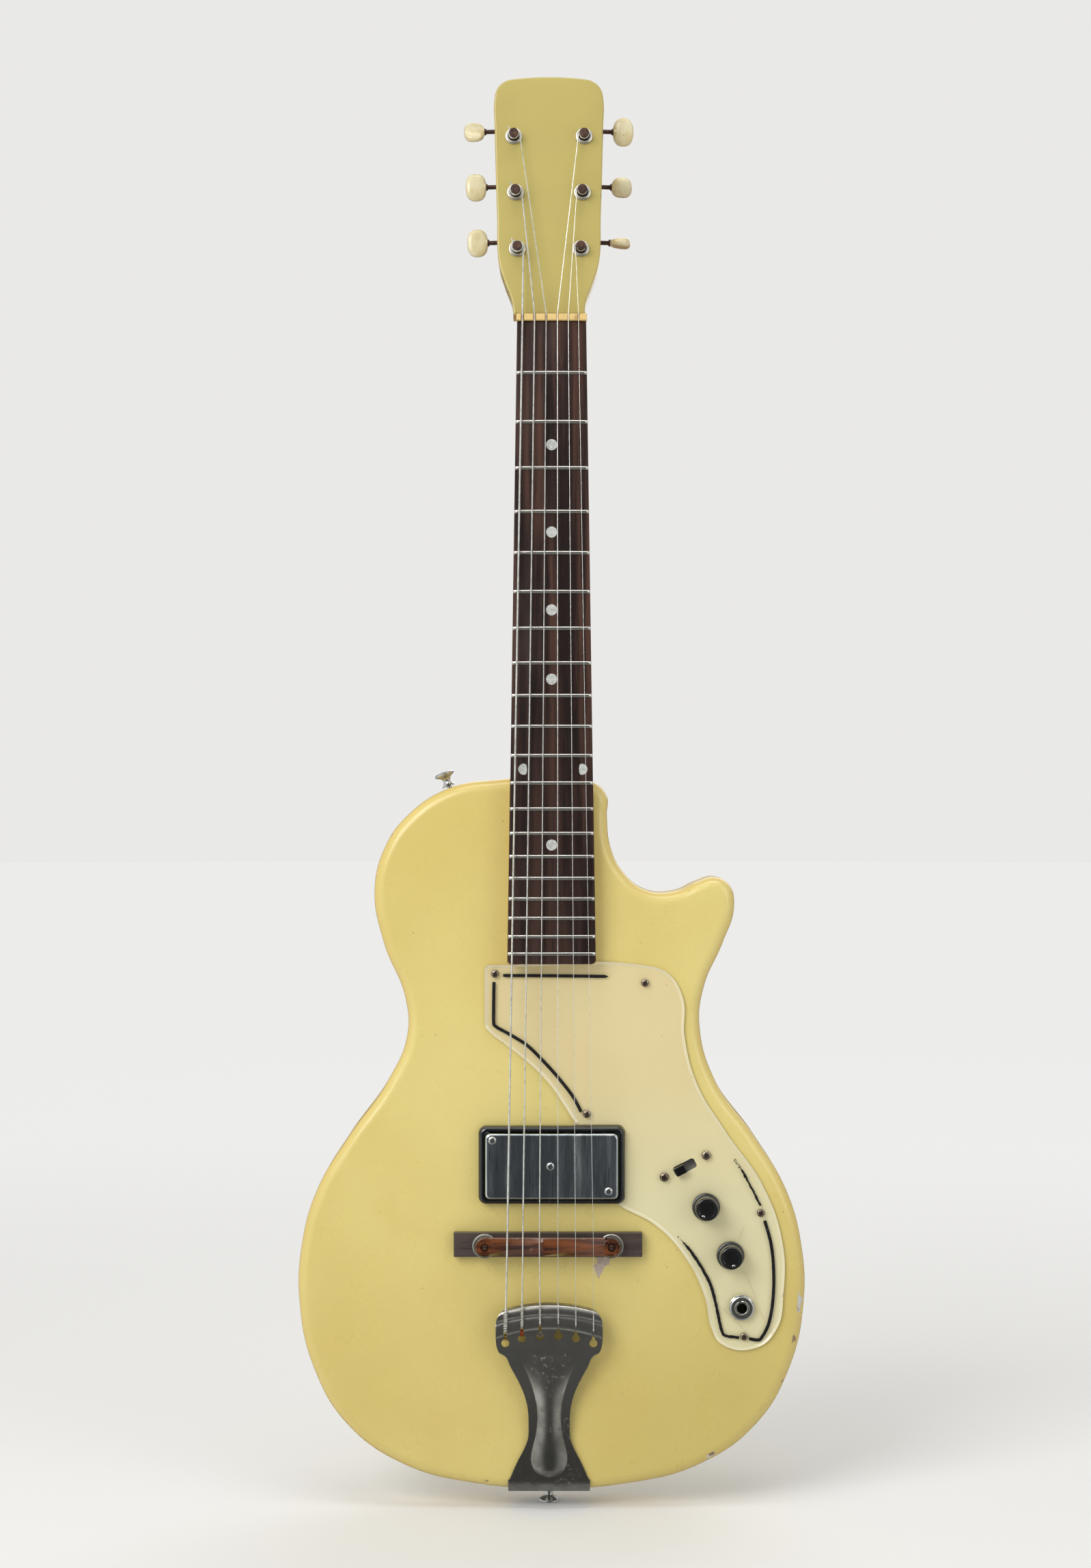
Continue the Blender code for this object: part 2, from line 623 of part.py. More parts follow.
def make_pickup():
    """A ring, a metal cover, and a coil, a bar magnet and a base plate inside the cover."""
    at = (0, PICKUP_Y, 0)
    ring_outline = rounded_rectangle(*RING_SIZE, 4)
    ring_mesh = outline_mesh("pickup_ring", ring_outline, -3, RING_TOP, edge=1.4, straight=True)
    ring = part("pickup_ring", ring_mesh, black_plastic, body_frame, at)
    opening = (COVER_SIZE[0] + 2 * GAP, COVER_SIZE[1] + 2 * GAP, 30)
    cut(ring, tool("ring_opening", box_mesh("ring_opening", opening), body_frame, at))
    cut(ring, tool("ring_foot", box_mesh("ring_foot", (100, 60, 10), (0, 0, GAP - 5)), body_frame, at))

    outline = rounded_rectangle(*COVER_SIZE, 2.5)
    cover_mesh = outline_mesh("pickup_cover", outline, -6, COVER_TOP, edge=1.2, straight=True)
    cover = part("pickup_cover", cover_mesh, chrome, body_frame, at)
    inside = (COVER_SIZE[0] - 2, COVER_SIZE[1] - 2, 30)
    cut(cover, tool("cover_inside", box_mesh("cover_inside", inside, (0, 0, COVER_TOP - 16)), body_frame, at))

    coil = outline_mesh("pickup_coil", rounded_rectangle(70, 30, 14, 5), -2.2, 9.8, straight=True)
    part("pickup_coil", coil, copper_wire, body_frame, at)
    magnet = box_mesh("pickup_magnet", (62, 12.7, 3.6), (0, 0, -4.4))
    part("pickup_magnet", magnet, magnet_grey, body_frame, at)
    base = box_mesh("pickup_base_plate", (COVER_SIZE[0] - 2.8, COVER_SIZE[1] - 2.8, 1.2), (0, 0, -7.4))
    part("pickup_base_plate", base, chrome, body_frame, at)


def make_control(name, place):
    """A potentiometer under the pickguard, and its knob with the shaft that turns in it."""
    pot = [(0, -8.5), (3.3, -8.5), (3.3, 2.4), (4.6, 2.4), (4.6, -0.3), (8.5, -0.9), (8.5, -10), (0, -10)]
    turned(f"{name}_potentiometer", pot, steel, body_frame, (*place, 0), steps=20)
    base = GUARD_TOP + 0.4
    knob = [(0, 15.6), (5.4, 15.6), (6.7, 14.9), (7.1, 13.6), (7.3, base + 3.6)]
    knob += [(8.65, base + 3.2), (8.65, base), (3.0, base), (3.0, -7.8), (0, -7.8)]
    turned(f"{name}_knob", knob, black_plastic, body_frame, (*place, 0))


def make_switch():
    at = (*SWITCH_AT, 0)
    turn = (0, 0, SWITCH_TURN)
    housing_mesh = box_mesh("switch_housing", (24, 11, 10), (0, 0, -5))
    housing = part("switch_housing", housing_mesh, steel, body_frame, at, turn)
    recess = box_mesh("switch_recess", (*SWITCH_SLOT, 8))
    cut(housing, tool("switch_recess", recess, body_frame, at, turn))

    start = -SWITCH_SLOT[0] / 2 + SLIDER_SIZE[0] / 2 + 0.5
    slider_mesh = box_mesh("switch_slider", (*SLIDER_SIZE, 9.4), (start, 0, 1.5))
    slider = part("switch_slider", slider_mesh, black_plastic, body_frame, at, turn)
    for index in range(4):
        groove = box_mesh(f"slider_groove_{index}", (0.7, 8, 1.6), (start + 1.5 * (index - 1.5), 0, 6.2))
        cut(slider, tool(f"slider_groove_{index}", groove, body_frame, at, turn))


def make_jack():
    at = (*JACK_AT, 0)
    bore, sleeve, can = 3.3, 4.5, 6.5
    socket = [(bore, 6.4), (sleeve, 6.4), (sleeve, -GAP), (can, -GAP), (can, -24), (bore, -24)]
    turned("jack_socket", socket, chrome, body_frame, at, ring=True)
    bottom = GUARD_TOP + GAP
    nut = [(4.8, bottom + 2.4), (6.9, bottom + 2.4), (7.75, bottom + 0.9), (7.75, bottom), (4.8, bottom)]
    turned("jack_nut", nut, chrome, body_frame, at, ring=True)


def make_bridge():
    x, y = BRIDGE_AT
    length, width, height = BRIDGE_BASE
    base_outline = rounded_rectangle(length, width, 1.2, 2)
    base_mesh = outline_mesh("bridge_base", base_outline, GAP, height, straight=True)
    base = part("bridge_base", base_mesh, rosewood, body_frame, (x, y, 0))
    saddle_outline = rounded_rectangle(SADDLE_LENGTH, SADDLE_WIDTH, SADDLE_WIDTH / 2 - 0.01, 5)
    saddle_mesh = outline_mesh("bridge_saddle", saddle_outline, *SADDLE_Z, straight=True)
    saddle = part("bridge_saddle", saddle_mesh, saddle_wood, body_frame, (x, y, 0))
    bottom, top = WHEEL_Z
    wheel = [(BRIDGE_POST_RADIUS + 0.2, top), (WHEEL_RADIUS - 0.5, top), (WHEEL_RADIUS, top - 0.5)]
    wheel += [(WHEEL_RADIUS, bottom + 0.5), (WHEEL_RADIUS - 0.5, bottom), (BRIDGE_POST_RADIUS + 0.2, bottom)]
    for side, name in ((-1, "bass"), (1, "treble")):
        at = (x + side * WHEEL_SPREAD / 2, y, 0)
        post_mesh = rod_mesh(f"bridge_post_{name}", BRIDGE_POST_RADIUS, 1.5, SADDLE_Z[1] - 1.0, 16)
        part(f"bridge_post_{name}", post_mesh, steel, body_frame, at)
        hole_mesh = rod_mesh(f"bridge_hole_{name}", BRIDGE_POST_RADIUS + GAP, 1.2, SADDLE_Z[1] + 3, 16)
        hole = tool(f"bridge_hole_{name}", hole_mesh, body_frame, at)
        cut(base, hole)
        cut(saddle, hole)
        turned(f"bridge_wheel_{name}", wheel, steel, body_frame, at, ring=True)


# ---------------------------------------------------------------- tailpiece, strings and strap buttons


def rib_height(x, y):
    """The pressed rib: a round bulb at the foot that narrows and then opens towards the head."""
    if y > -346 or y < -425:
        return 0.0
    half = 8.0 + 3.2 * math.exp(-(((y + 413) / 12) ** 2)) + 9.0 * max(0.0, (y + 385) / 39) ** 2
    fade = min(1.0, (y + 425) / 8, (-346 - y) / 14)
    return RIB_HEIGHT * fade * max(0.0, 1 - (x / half) ** 4)


def tailpiece_sheet():
    """Rows of points from the head to the foot, which bends over the body's rim."""
    rows = []
    for y, half, z, bow in TAIL_ROWS:
        row = []
        for share in TAIL_COLUMNS:
            x = share * half
            place = y + bow * (1 - share * share)
            row.append((x, place, z + rib_height(x, place)))
        rows.append(row)
    rim_y = BODY_END_Y + EDGE_RADIUS
    reach = EDGE_RADIUS + 0.35 + TAIL_THICKNESS / 2
    for angle in (90, 60, 30, 0):
        turn = math.radians(angle)
        y = rim_y - reach * math.cos(turn)
        z = -EDGE_RADIUS + reach * math.sin(turn)
        rows.append([(share * TAIL_FOOT_HALF, y, z) for share in TAIL_COLUMNS])
    rows.append([(share * TAIL_FOOT_HALF * 0.8, rim_y - reach, TAIL_FOOT_BACK) for share in TAIL_COLUMNS])
    return rows


def keyhole_y(x):
    """The keyholes lie on an arc."""
    return -334.2 - 5.2 * (x / 28) ** 2


def make_tailpiece():
    rows = tailpiece_sheet()

    def build(work):
        grid = [[work.verts.new(point) for point in row] for row in rows]
        for first, second in zip(grid, grid[1:]):
            for i in range(len(first) - 1):
                work.faces.new((first[i], first[i + 1], second[i + 1], second[i]))

    tail = part("tailpiece", smooth(mesh_from("tailpiece", build)), aged_nickel, body_frame, (TAIL_X, 0, 0))
    shell = tail.modifiers.new("thickness", "SOLIDIFY")
    shell.thickness = TAIL_THICKNESS * MM
    shell.offset = 0
    slot_width, slot_length = KEYHOLE_SLOT
    for number, (_, _, _, x) in STRINGS.items():
        at = (x, keyhole_y(x - TAIL_X), 0)
        hole_mesh = rod_mesh(f"keyhole_{number}", KEYHOLE_RADIUS, 4, 18, 10)
        hole = tool(f"keyhole_{number}", hole_mesh, body_frame, at)
        slot_mesh = box_mesh(f"key_slot_{number}", (slot_width, slot_length, 14), (0, slot_length / 2, 11))
        cut(tail, hole, tool(f"key_slot_{number}", slot_mesh, body_frame, at))
    return tail


def string_start(number):
    """Where the string leaves its post, in the guitar's frame."""
    side = -1 if number > 3 else 1
    place = {6: 0, 5: 1, 4: 2, 1: 0, 2: 1, 3: 2}[number]
    slant = Matrix.Rotation(math.radians(-side * STRIP_SLANT), 4, "Z")
    strip = Matrix.Translation((side * POST_X, MIDDLE_POST_Y, 0)) @ slant
    tilt = Matrix.Rotation(math.radians(-HEAD_TILT), 4, "X")
    head = Matrix.Translation((HEAD_CENTRE_X, NUT_Y + NUT_LENGTH + GAP, HEAD_FACE)) @ tilt
    reach = POST_RADIUS + STRINGS[number][0] / 2 + GAP
    return head @ strip @ Vector((-side * reach, (place - 1) * POST_PITCH, 4.2))


def make_string(number):
    diameter, nut_x, saddle_x, tail_x = STRINGS[number]
    slot_top = JOIN_Y + keyhole_y(tail_x - TAIL_X) + KEYHOLE_SLOT[1] - diameter / 2 - GAP
    saddle_y = NUT_Y - SCALE_LENGTH
    points = [
        string_start(number),
        (nut_x, NUT_Y + NUT_LENGTH, STRING_NUT_Z),
        (nut_x, NUT_Y, STRING_NUT_Z + 0.1),
        (saddle_x, saddle_y + 2, STRING_SADDLE_Z),
        (saddle_x, saddle_y - 2, STRING_SADDLE_Z - 0.1),
        (tail_x, slot_top + 1.2, STRING_TAIL_Z + 0.4),
        (tail_x, slot_top, STRING_TAIL_Z - 1.2),
        (tail_x, slot_top - 0.8, STRING_TAIL_Z - 5.5),
    ]
    part(f"string_{number}", wire_mesh(f"string_{number}", points, diameter / 2), string_steel, guitar)


def make_strap_button(name, at, turn, *drilled):
    profile = [(0, 9.2), (4.6, 9.2), (6.2, 8.2), (6.0, 7.2), (2.9, 5.6), (2.4, 3.5)]
    profile += [(3.2, 1.4), (4.4, 0.4), (4.4, 0), (1.5, 0), (1.5, -13), (0, -14)]
    turned(name, profile, bronze, body_frame, at, turn, steps=16)
    hole = tool(f"{name}_hole", rod_mesh(f"{name}_hole", 1.8, -15, 2, 12), body_frame, at, turn)
    for obj in drilled:
        cut(obj, hole)


neck_solid = make_neck()
make_fingerboard()
make_nut()
make_strip("tuner_plate_bass", -1, neck_solid)
make_strip("tuner_plate_treble", 1, neck_solid)
body_solid = make_body()
make_neck_plate(body_solid, neck_solid)
make_pickguard()
make_pickup()
make_control("volume", VOLUME_AT)
make_control("tone", TONE_AT)
make_switch()
make_jack()
capacitor = rod_mesh("tone_capacitor", 3.2, -7, 7, 12)
part("tone_capacitor", capacitor, copper_wire, body_frame, (104, -270, -20), (90, 0, 30))
make_bridge()
tail_sheet = make_tailpiece()
for string_number in STRINGS:
    make_string(string_number)
lower_seat = BODY_END_Y - 0.35 - TAIL_THICKNESS - GAP
lower_at = (TAIL_X, lower_seat, BUTTON_AXIS_Z)
upper_at = (*UPPER_BUTTON_AT, BUTTON_AXIS_Z)
make_strap_button("strap_button_lower", lower_at, (90, 0, 0), body_solid, tail_sheet)
make_strap_button("strap_button_upper", upper_at, (-90, 0, UPPER_BUTTON_LEAN), body_solid)
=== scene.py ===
"""The electric guitar's looks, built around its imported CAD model.

Pieces are made in millimetres with the guitar lying on its back: x to the treble side, y towards the
headstock, z out of the front of the body, y = 0 at the wall hanger's arms. STAND then turns them into the
frame's metres: x stays, y becomes +Z and z becomes -Y.
"""

import json
import math
import random

import bmesh
import bpy
from mathutils import Matrix, Vector

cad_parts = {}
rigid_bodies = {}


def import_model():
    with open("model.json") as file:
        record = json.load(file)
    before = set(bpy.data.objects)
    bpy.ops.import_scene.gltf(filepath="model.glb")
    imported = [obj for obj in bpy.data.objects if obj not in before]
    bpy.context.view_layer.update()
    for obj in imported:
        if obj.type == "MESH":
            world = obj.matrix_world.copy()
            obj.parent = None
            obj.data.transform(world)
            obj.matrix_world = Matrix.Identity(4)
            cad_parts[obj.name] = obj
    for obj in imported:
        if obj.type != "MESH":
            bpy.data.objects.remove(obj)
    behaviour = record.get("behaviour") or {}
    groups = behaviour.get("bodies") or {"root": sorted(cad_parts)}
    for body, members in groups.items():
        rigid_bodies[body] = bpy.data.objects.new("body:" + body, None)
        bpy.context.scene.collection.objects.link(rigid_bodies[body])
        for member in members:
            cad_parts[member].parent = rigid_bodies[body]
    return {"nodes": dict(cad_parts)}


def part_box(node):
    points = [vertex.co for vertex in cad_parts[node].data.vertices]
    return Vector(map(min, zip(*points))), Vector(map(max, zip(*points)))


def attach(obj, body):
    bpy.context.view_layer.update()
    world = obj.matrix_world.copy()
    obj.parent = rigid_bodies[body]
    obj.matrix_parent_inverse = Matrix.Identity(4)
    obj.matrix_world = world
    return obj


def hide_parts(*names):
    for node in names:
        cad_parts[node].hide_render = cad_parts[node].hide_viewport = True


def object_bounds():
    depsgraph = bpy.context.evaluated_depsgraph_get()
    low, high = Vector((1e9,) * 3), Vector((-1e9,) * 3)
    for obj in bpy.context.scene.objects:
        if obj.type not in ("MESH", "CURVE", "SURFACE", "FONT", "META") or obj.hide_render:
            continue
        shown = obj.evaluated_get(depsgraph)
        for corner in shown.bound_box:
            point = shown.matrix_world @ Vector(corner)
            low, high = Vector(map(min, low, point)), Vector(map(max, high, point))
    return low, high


for leftover in list(bpy.data.objects):
    bpy.data.objects.remove(leftover, do_unlink=True)
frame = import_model()
cad_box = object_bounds()

STAND = Matrix(((0.001, 0, 0, 0), (0, 0, -0.001, 0), (0, 0.001, 0, 0), (0, 0, 0, 1)))
SMOOTH_ANGLE = 32


def span(node):
    """The node's lowest and highest corners, lying down, in millimetres."""
    low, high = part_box(node)
    return Vector((low.x, low.z, -high.y)) * 1000, Vector((high.x, high.z, -low.y)) * 1000


def centre(node):
    low, high = span(node)
    return (low + high) / 2


# ---------------------------------------------------------------- sizes, from the frame

SCALE_LENGTH = 558.8
NUT_LOW, NUT_HIGH = span("nut")
NUT_Y = NUT_LOW.y
JOIN_Y = NUT_Y - SCALE_LENGTH / 2  # the 12th fret
BODY_LOW = span("body")[0]
BODY_BACK = BODY_LOW.z
BODY_END = BODY_LOW.y - JOIN_Y
EDGE_RADIUS = 7.0
BOLT_HOLE = 2.5

BOARD_LOW, BOARD_HIGH = span("fingerboard")
BOARD_TOP = 12.5
BOARD_CROWN = 240.0
BOARD_END = BOARD_LOW.y - NUT_Y
BOARD_HALVES = (20.9, BOARD_HIGH.x)
NECK_TOP = BOARD_LOW.z - 0.3
HEEL_BACK = span("neck")[0].z

HEAD_TILT = 7.5
HEAD_THICKNESS = 14.5
HEAD_AT = (-1.6, NUT_HIGH.y + 0.3, 7.2)
STRIP_AT = (20.4, 77.0)
STRIP_SLANT = 1.75
POST_PITCH = 35.6
POST_RADIUS = 2.9
POST_TOP = 7.4
STRIP_TOP = -HEAD_THICKNESS - 0.3
GEAR_TEETH = 14
WORM_OFFSET = 10.5
WORM_Z = -18.8
BUTTON_CENTRE = 24.2
BUTTON_TURNS = {6: 0.0, 5: 0.0, 4: 34.0, 3: 10.0, 2: 70.0, 1: 98.0}
STRING_RADII = {1: 0.125, 2: 0.165, 3: 0.215, 4: 0.33, 5: 0.455, 6: 0.585}
WINDING_TURNS = {6: 2.2, 5: 2.6, 4: 3.2, 3: 4.0, 2: 4.5, 1: 5.0}
STRING_TIPS = {6: (-1, 1.4), 5: (-1, 1.5), 4: (-1.1, 1.4), 3: (-0.4, 0.5), 2: (-0.7, 0.7), 1: (1.2, -1)}

GUARD_TOP = span("pickguard")[1].z
PRINT_HEIGHTS = (GUARD_TOP - 0.08, GUARD_TOP + 0.035)
TAIL_X = centre("tailpiece").x

ORIGIN = Matrix.Identity(4)
NECK = Matrix.Translation((0, NUT_Y, 0))
HEAD = Matrix.Translation(HEAD_AT) @ Matrix.Rotation(math.radians(-HEAD_TILT), 4, "X")
BODY = Matrix.Translation((0, JOIN_Y, 0))


def strip_frame(side):
    slant = Matrix.Rotation(math.radians(-side * STRIP_SLANT), 4, "Z")
    return HEAD @ Matrix.Translation((side * STRIP_AT[0], STRIP_AT[1], 0)) @ slant


def at(x, y, z=0.0):
    return Matrix.Translation((x, y, z))


def turn(degrees, axis):
    return Matrix.Rotation(math.radians(degrees), 4, axis)


# ---------------------------------------------------------------- mesh helpers


def polar(radius, angle):
    return radius * math.cos(angle), radius * math.sin(angle)


def new_object(name, data):
    """An object that is in the scene."""
    made = bpy.data.objects.new(name, data)
    bpy.context.scene.collection.objects.link(made)
    return made


def applied(obj):
    """The object's mesh with its modifiers applied. The object itself is removed."""
    mesh = bpy.data.meshes.new_from_object(obj.evaluated_get(bpy.context.evaluated_depsgraph_get()))
    bpy.data.objects.remove(obj)
    return mesh


def filled(build):
    """A mesh in millimetres, filled by a function that works on a bmesh."""
    work = bmesh.new()
    build(work)
    bmesh.ops.recalc_face_normals(work, faces=work.faces)
    mesh = bpy.data.meshes.new("shape")
    work.to_mesh(mesh)
    work.free()
    return mesh


def moved(mesh, matrix):
    mesh.transform(matrix)
    return mesh


def block(size, middle=(0, 0, 0), bevel=0.0, segments=2):
    def build(work):
        bmesh.ops.create_cube(work, size=1, matrix=Matrix.Translation(middle) @ Matrix.Diagonal((*size, 1)))
        if bevel:
            rims = {"offset": bevel, "segments": segments, "profile": 0.5, "affect": "EDGES"}
            bmesh.ops.bevel(work, geom=work.edges[:], **rims)

    return filled(build)


def loft(rings, capped=True, closed=False):
    """Faces through rings of as many points each. A closed loft joins its last ring to its first."""

    def build(work):
        rows = [[work.verts.new(point) for point in ring] for ring in rings]
        count = len(rows[0])
        pairs = list(zip(rows, rows[1:])) + ([(rows[-1], rows[0])] if closed else [])
        for first, second in pairs:
            for i in range(count):
                j = (i + 1) % count
                work.faces.new((first[i], first[j], second[j], second[i]))
        if capped and not closed:
            work.faces.new(rows[0])
            work.faces.new(reversed(rows[-1]))

    return filled(build)


def revolved(profile, steps=48, ring=False, wave=None):
    """A turned solid around z. wave(angle, place) adds to the radius, for knurls."""
    rings = []
    for place, (radius, z) in enumerate(profile):
        points = []
        for step in range(steps):
            angle = math.tau * step / steps
            points.append((*polar(radius + (wave(angle, place) if wave else 0.0), angle), z))
        rings.append(points)
    return loft(rings, closed=ring)


def at_height(points, z):
    return [(x, y, z) for x, y in points]


def rectangle(width, height, radius, steps=8):
    """Points of a rectangle with round corners, anticlockwise."""
    points = []
    for quarter, (across, up) in enumerate(((1, 1), (-1, 1), (-1, -1), (1, -1))):
        for step in range(steps + 1):
            x, y = polar(radius, math.radians(90 * (quarter + step / steps)))
            points.append((across * (width / 2 - radius) + x, up * (height / 2 - radius) + y))
    return points


def slab(knots, bottom, top, edge=0.0, steps=12, straight=False, edge_steps=4):
    """A flat piece with this outline. Edge rounds its rims, and a knot marked corner stays sharp."""
    curve = bpy.data.curves.new("slab", "CURVE")
    curve.dimensions = "2D"
    curve.fill_mode = "BOTH"
    curve.resolution_u = 1 if straight else steps
    curve.extrude = (top - bottom) / 2 - edge
    curve.bevel_depth = edge
    curve.bevel_resolution = edge_steps
    curve.offset = -edge
    spline = curve.splines.new("BEZIER")
    spline.bezier_points.add(len(knots) - 1)
    spline.use_cyclic_u = True
    for point, knot in zip(spline.bezier_points, knots):
        point.co = (knot[0], knot[1], 0)
        kind = "VECTOR" if straight or len(knot) > 2 else "AUTO"
        point.handle_left_type = kind
        point.handle_right_type = kind
    return moved(from_curve(curve), at(0, 0, (bottom + top) / 2))


def from_curve(curve):
    """The curve's solid as a mesh, with its caps welded on."""
    mesh = applied(new_object("guide", curve))
    mesh.materials.clear()
    work = bmesh.new()
    work.from_mesh(mesh)
    bmesh.ops.remove_doubles(work, verts=work.verts, dist=1e-4)
    bmesh.ops.dissolve_degenerate(work, edges=work.edges, dist=1e-4)
    bmesh.ops.recalc_face_normals(work, faces=work.faces)
    work.to_mesh(mesh)
    work.free()
    return mesh


def tube(points, radius, sides=6, closed=False):
    """A round wire through the points."""
    curve = bpy.data.curves.new("tube", "CURVE")
    curve.dimensions = "3D"
    curve.bevel_depth = radius
    curve.bevel_resolution = max(0, sides // 2 - 2)
    curve.use_fill_caps = True
    spline = curve.splines.new("POLY")
    spline.points.add(len(points) - 1)
    spline.use_cyclic_u = closed
    for point, place in zip(spline.points, points):
        point.co = (*place, 1)
    return from_curve(curve)


def helix(radius, bottom, top, turns, start=0.0, steps=20):
    count = int(turns * steps)
    points = []
    for i in range(count + 1):
        across = polar(radius, math.radians(start) + math.tau * i / steps)
        points.append((*across, bottom + (top - bottom) * i / count))
    return points


def together(*meshes):
    """One mesh that holds them all."""
    work = bmesh.new()
    for mesh in meshes:
        work.from_mesh(mesh)
    made = bpy.data.meshes.new("together")
    work.to_mesh(made)
    work.free()
    return made


def combined(mesh, operation, *others):
    """The mesh after a Boolean with each of the others. Where EXACT finds nothing, MANIFOLD is used."""
    for other in others:
        for solver in ("EXACT", "MANIFOLD"):
            base, tool = new_object("base", mesh), new_object("tool", other)
            step = base.modifiers.new("step", "BOOLEAN")
            step.operation = operation
            step.object = tool
            step.solver = solver
            result = applied(base)
            bpy.data.objects.remove(tool)
            if result.vertices:
                break
        mesh = result
    return mesh


def cut(mesh, *others):
    return combined(mesh, "DIFFERENCE", *others)


def fuse(mesh, *others):
    return combined(mesh, "UNION", *others)


def drill(radius, bottom, top, steps=32):
    return revolved([(radius, top), (radius, bottom)], steps)


def piece(name, mesh, look, place=ORIGIN, body="instrument", stands_for=(), angle=SMOOTH_ANGLE):
    """A finished piece of the guitar that rides on a body."""
    mesh.transform(STAND @ place)
    mesh.name = name
    mesh.materials.clear()
    mesh.materials.append(look)
    mesh.shade_smooth()
    mesh.set_sharp_from_angle(angle=math.radians(angle))
    made = new_object(name, mesh)
    normals = made.modifiers.new("normals", "WEIGHTED_NORMAL")
    normals.keep_sharp = True
    normals.weight = 80
    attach(made, body)
    if stands_for:
        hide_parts(*stands_for)
    return made


# ---------------------------------------------------------------- materials


class Field:
    """A texture value, which can be added, subtracted and multiplied."""

    def __init__(self, look, socket):
        self.look, self.socket = look, socket

    def __add__(self, other):
        return self.look.calc("ADD", self, other)

    def __sub__(self, other):
        return self.look.calc("SUBTRACT", self, other)

    def __rsub__(self, other):
        return self.look.calc("SUBTRACT", other, self)

    def __mul__(self, other):
        return self.look.calc("MULTIPLY", self, other)


class Nodes:
    """Short calls that add nodes to a node tree."""

    def __init__(self, tree):
        self.tree = tree

    def node(self, kind, **settings):
        made = self.tree.nodes.new(f"ShaderNode{kind}")
        for key, value in settings.items():
            setattr(made, key, value)
        return made

    def feed(self, socket, value):
        if isinstance(value, Field):
            self.tree.links.new(value.socket, socket)
        elif hasattr(value, "__len__") and len(value) == 3 and socket.type == "RGBA":
            socket.default_value = (*value, 1)
        else:
            socket.default_value = value

    def ease(self, value, low, high, to_low=0.0, to_high=1.0):
        made = self.node("MapRange", interpolation_type="SMOOTHSTEP")
        for socket, number in zip(list(made.inputs)[:5], (value, low, high, to_low, to_high)):
            self.feed(socket, number)
        return Field(self, made.outputs["Result"])

    def calc(self, operation, first, second=0.0):
        made = self.node("Math", operation=operation)
        self.feed(made.inputs[0], first)
        self.feed(made.inputs[1], second)
        return Field(self, made.outputs[0])


class Look(Nodes):
    """A Principled material. Its textures use object coordinates, in metres."""

    def __init__(self, name, roughness, metallic=0.0, coat=0.0, specular=0.5):
        self.material = bpy.data.materials.new(name)
        self.material.use_nodes = True
        super().__init__(self.material.node_tree)
        self.shader = self.tree.nodes["Principled BSDF"]
        self.shader.inputs["Roughness"].default_value = roughness
        self.shader.inputs["Metallic"].default_value = metallic
        self.shader.inputs["Coat Weight"].default_value = coat
        self.shader.inputs["Coat Roughness"].default_value = 0.12
        self.shader.inputs["Specular IOR Level"].default_value = specular
        self.coords = self.node("TexCoord").outputs

    def stretched(self, stretch):
        mapping = self.node("Mapping")
        self.feed(mapping.inputs["Vector"], Field(self, self.coords["Object"]))
        mapping.inputs["Scale"].default_value = stretch
        return Field(self, mapping.outputs["Vector"])

    def noise(self, scale, detail=4.0, stretch=(1, 1, 1), rough=0.55, twist=0.0):
        made = self.node("TexNoise")
        self.feed(made.inputs["Vector"], self.stretched(stretch))
        made.inputs["Scale"].default_value = scale
        made.inputs["Detail"].default_value = detail
        made.inputs["Roughness"].default_value = rough
        made.inputs["Distortion"].default_value = twist
        return Field(self, made.outputs["Fac"])

    def patches(self, scale, detail, low, high, to_low=0.0, to_high=1.0, **shape):
        """Noise that is eased between these two of its values."""
        return self.ease(self.noise(scale, detail, **shape), low, high, to_low, to_high)

    def cells(self, scale):
        made = self.node("TexVoronoi")
        self.feed(made.inputs["Vector"], self.stretched((1, 1, 1)))
        made.inputs["Scale"].default_value = scale
        return Field(self, made.outputs["Distance"])

    def waves(self, scale, axis):
        made = self.node("TexWave", wave_type="BANDS", bands_direction=axis)
        self.feed(made.inputs["Vector"], Field(self, self.coords["Object"]))
        made.inputs["Scale"].default_value = scale
        made.inputs["Distortion"].default_value = 0.0
        return Field(self, made.outputs["Fac"])

    def mix(self, share, first, second):
        made = self.node("Mix", data_type="RGBA")
        self.feed(made.inputs["Factor"], share)
        self.feed(made.inputs[6], first)
        self.feed(made.inputs[7], second)
        return Field(self, made.outputs[2])

    def axis(self, letter, space="Object"):
        """One coordinate of the point, or of the surface's normal."""
        made = self.node("SeparateXYZ")
        self.feed(made.inputs[0], Field(self, self.coords[space]))
        return Field(self, made.outputs[letter])

    def tilt(self):
        """0 on faces square to the guitar's front, 1 on its sides."""
        return 1.0 - self.calc("ABSOLUTE", self.axis("Y", "Normal"))

    def colour(self, value):
        self.feed(self.shader.inputs["Base Color"], value)

    def roughness(self, value):
        self.feed(self.shader.inputs["Roughness"], value)

    def bump(self, height, distance, strength=1.0):
        """Distance is the relief's full height in metres."""
        made = self.node("Bump")
        made.inputs["Strength"].default_value = strength
        made.inputs["Distance"].default_value = distance
        self.feed(made.inputs["Height"], height)
        self.feed(self.shader.inputs["Normal"], Field(self, made.outputs["Normal"]))


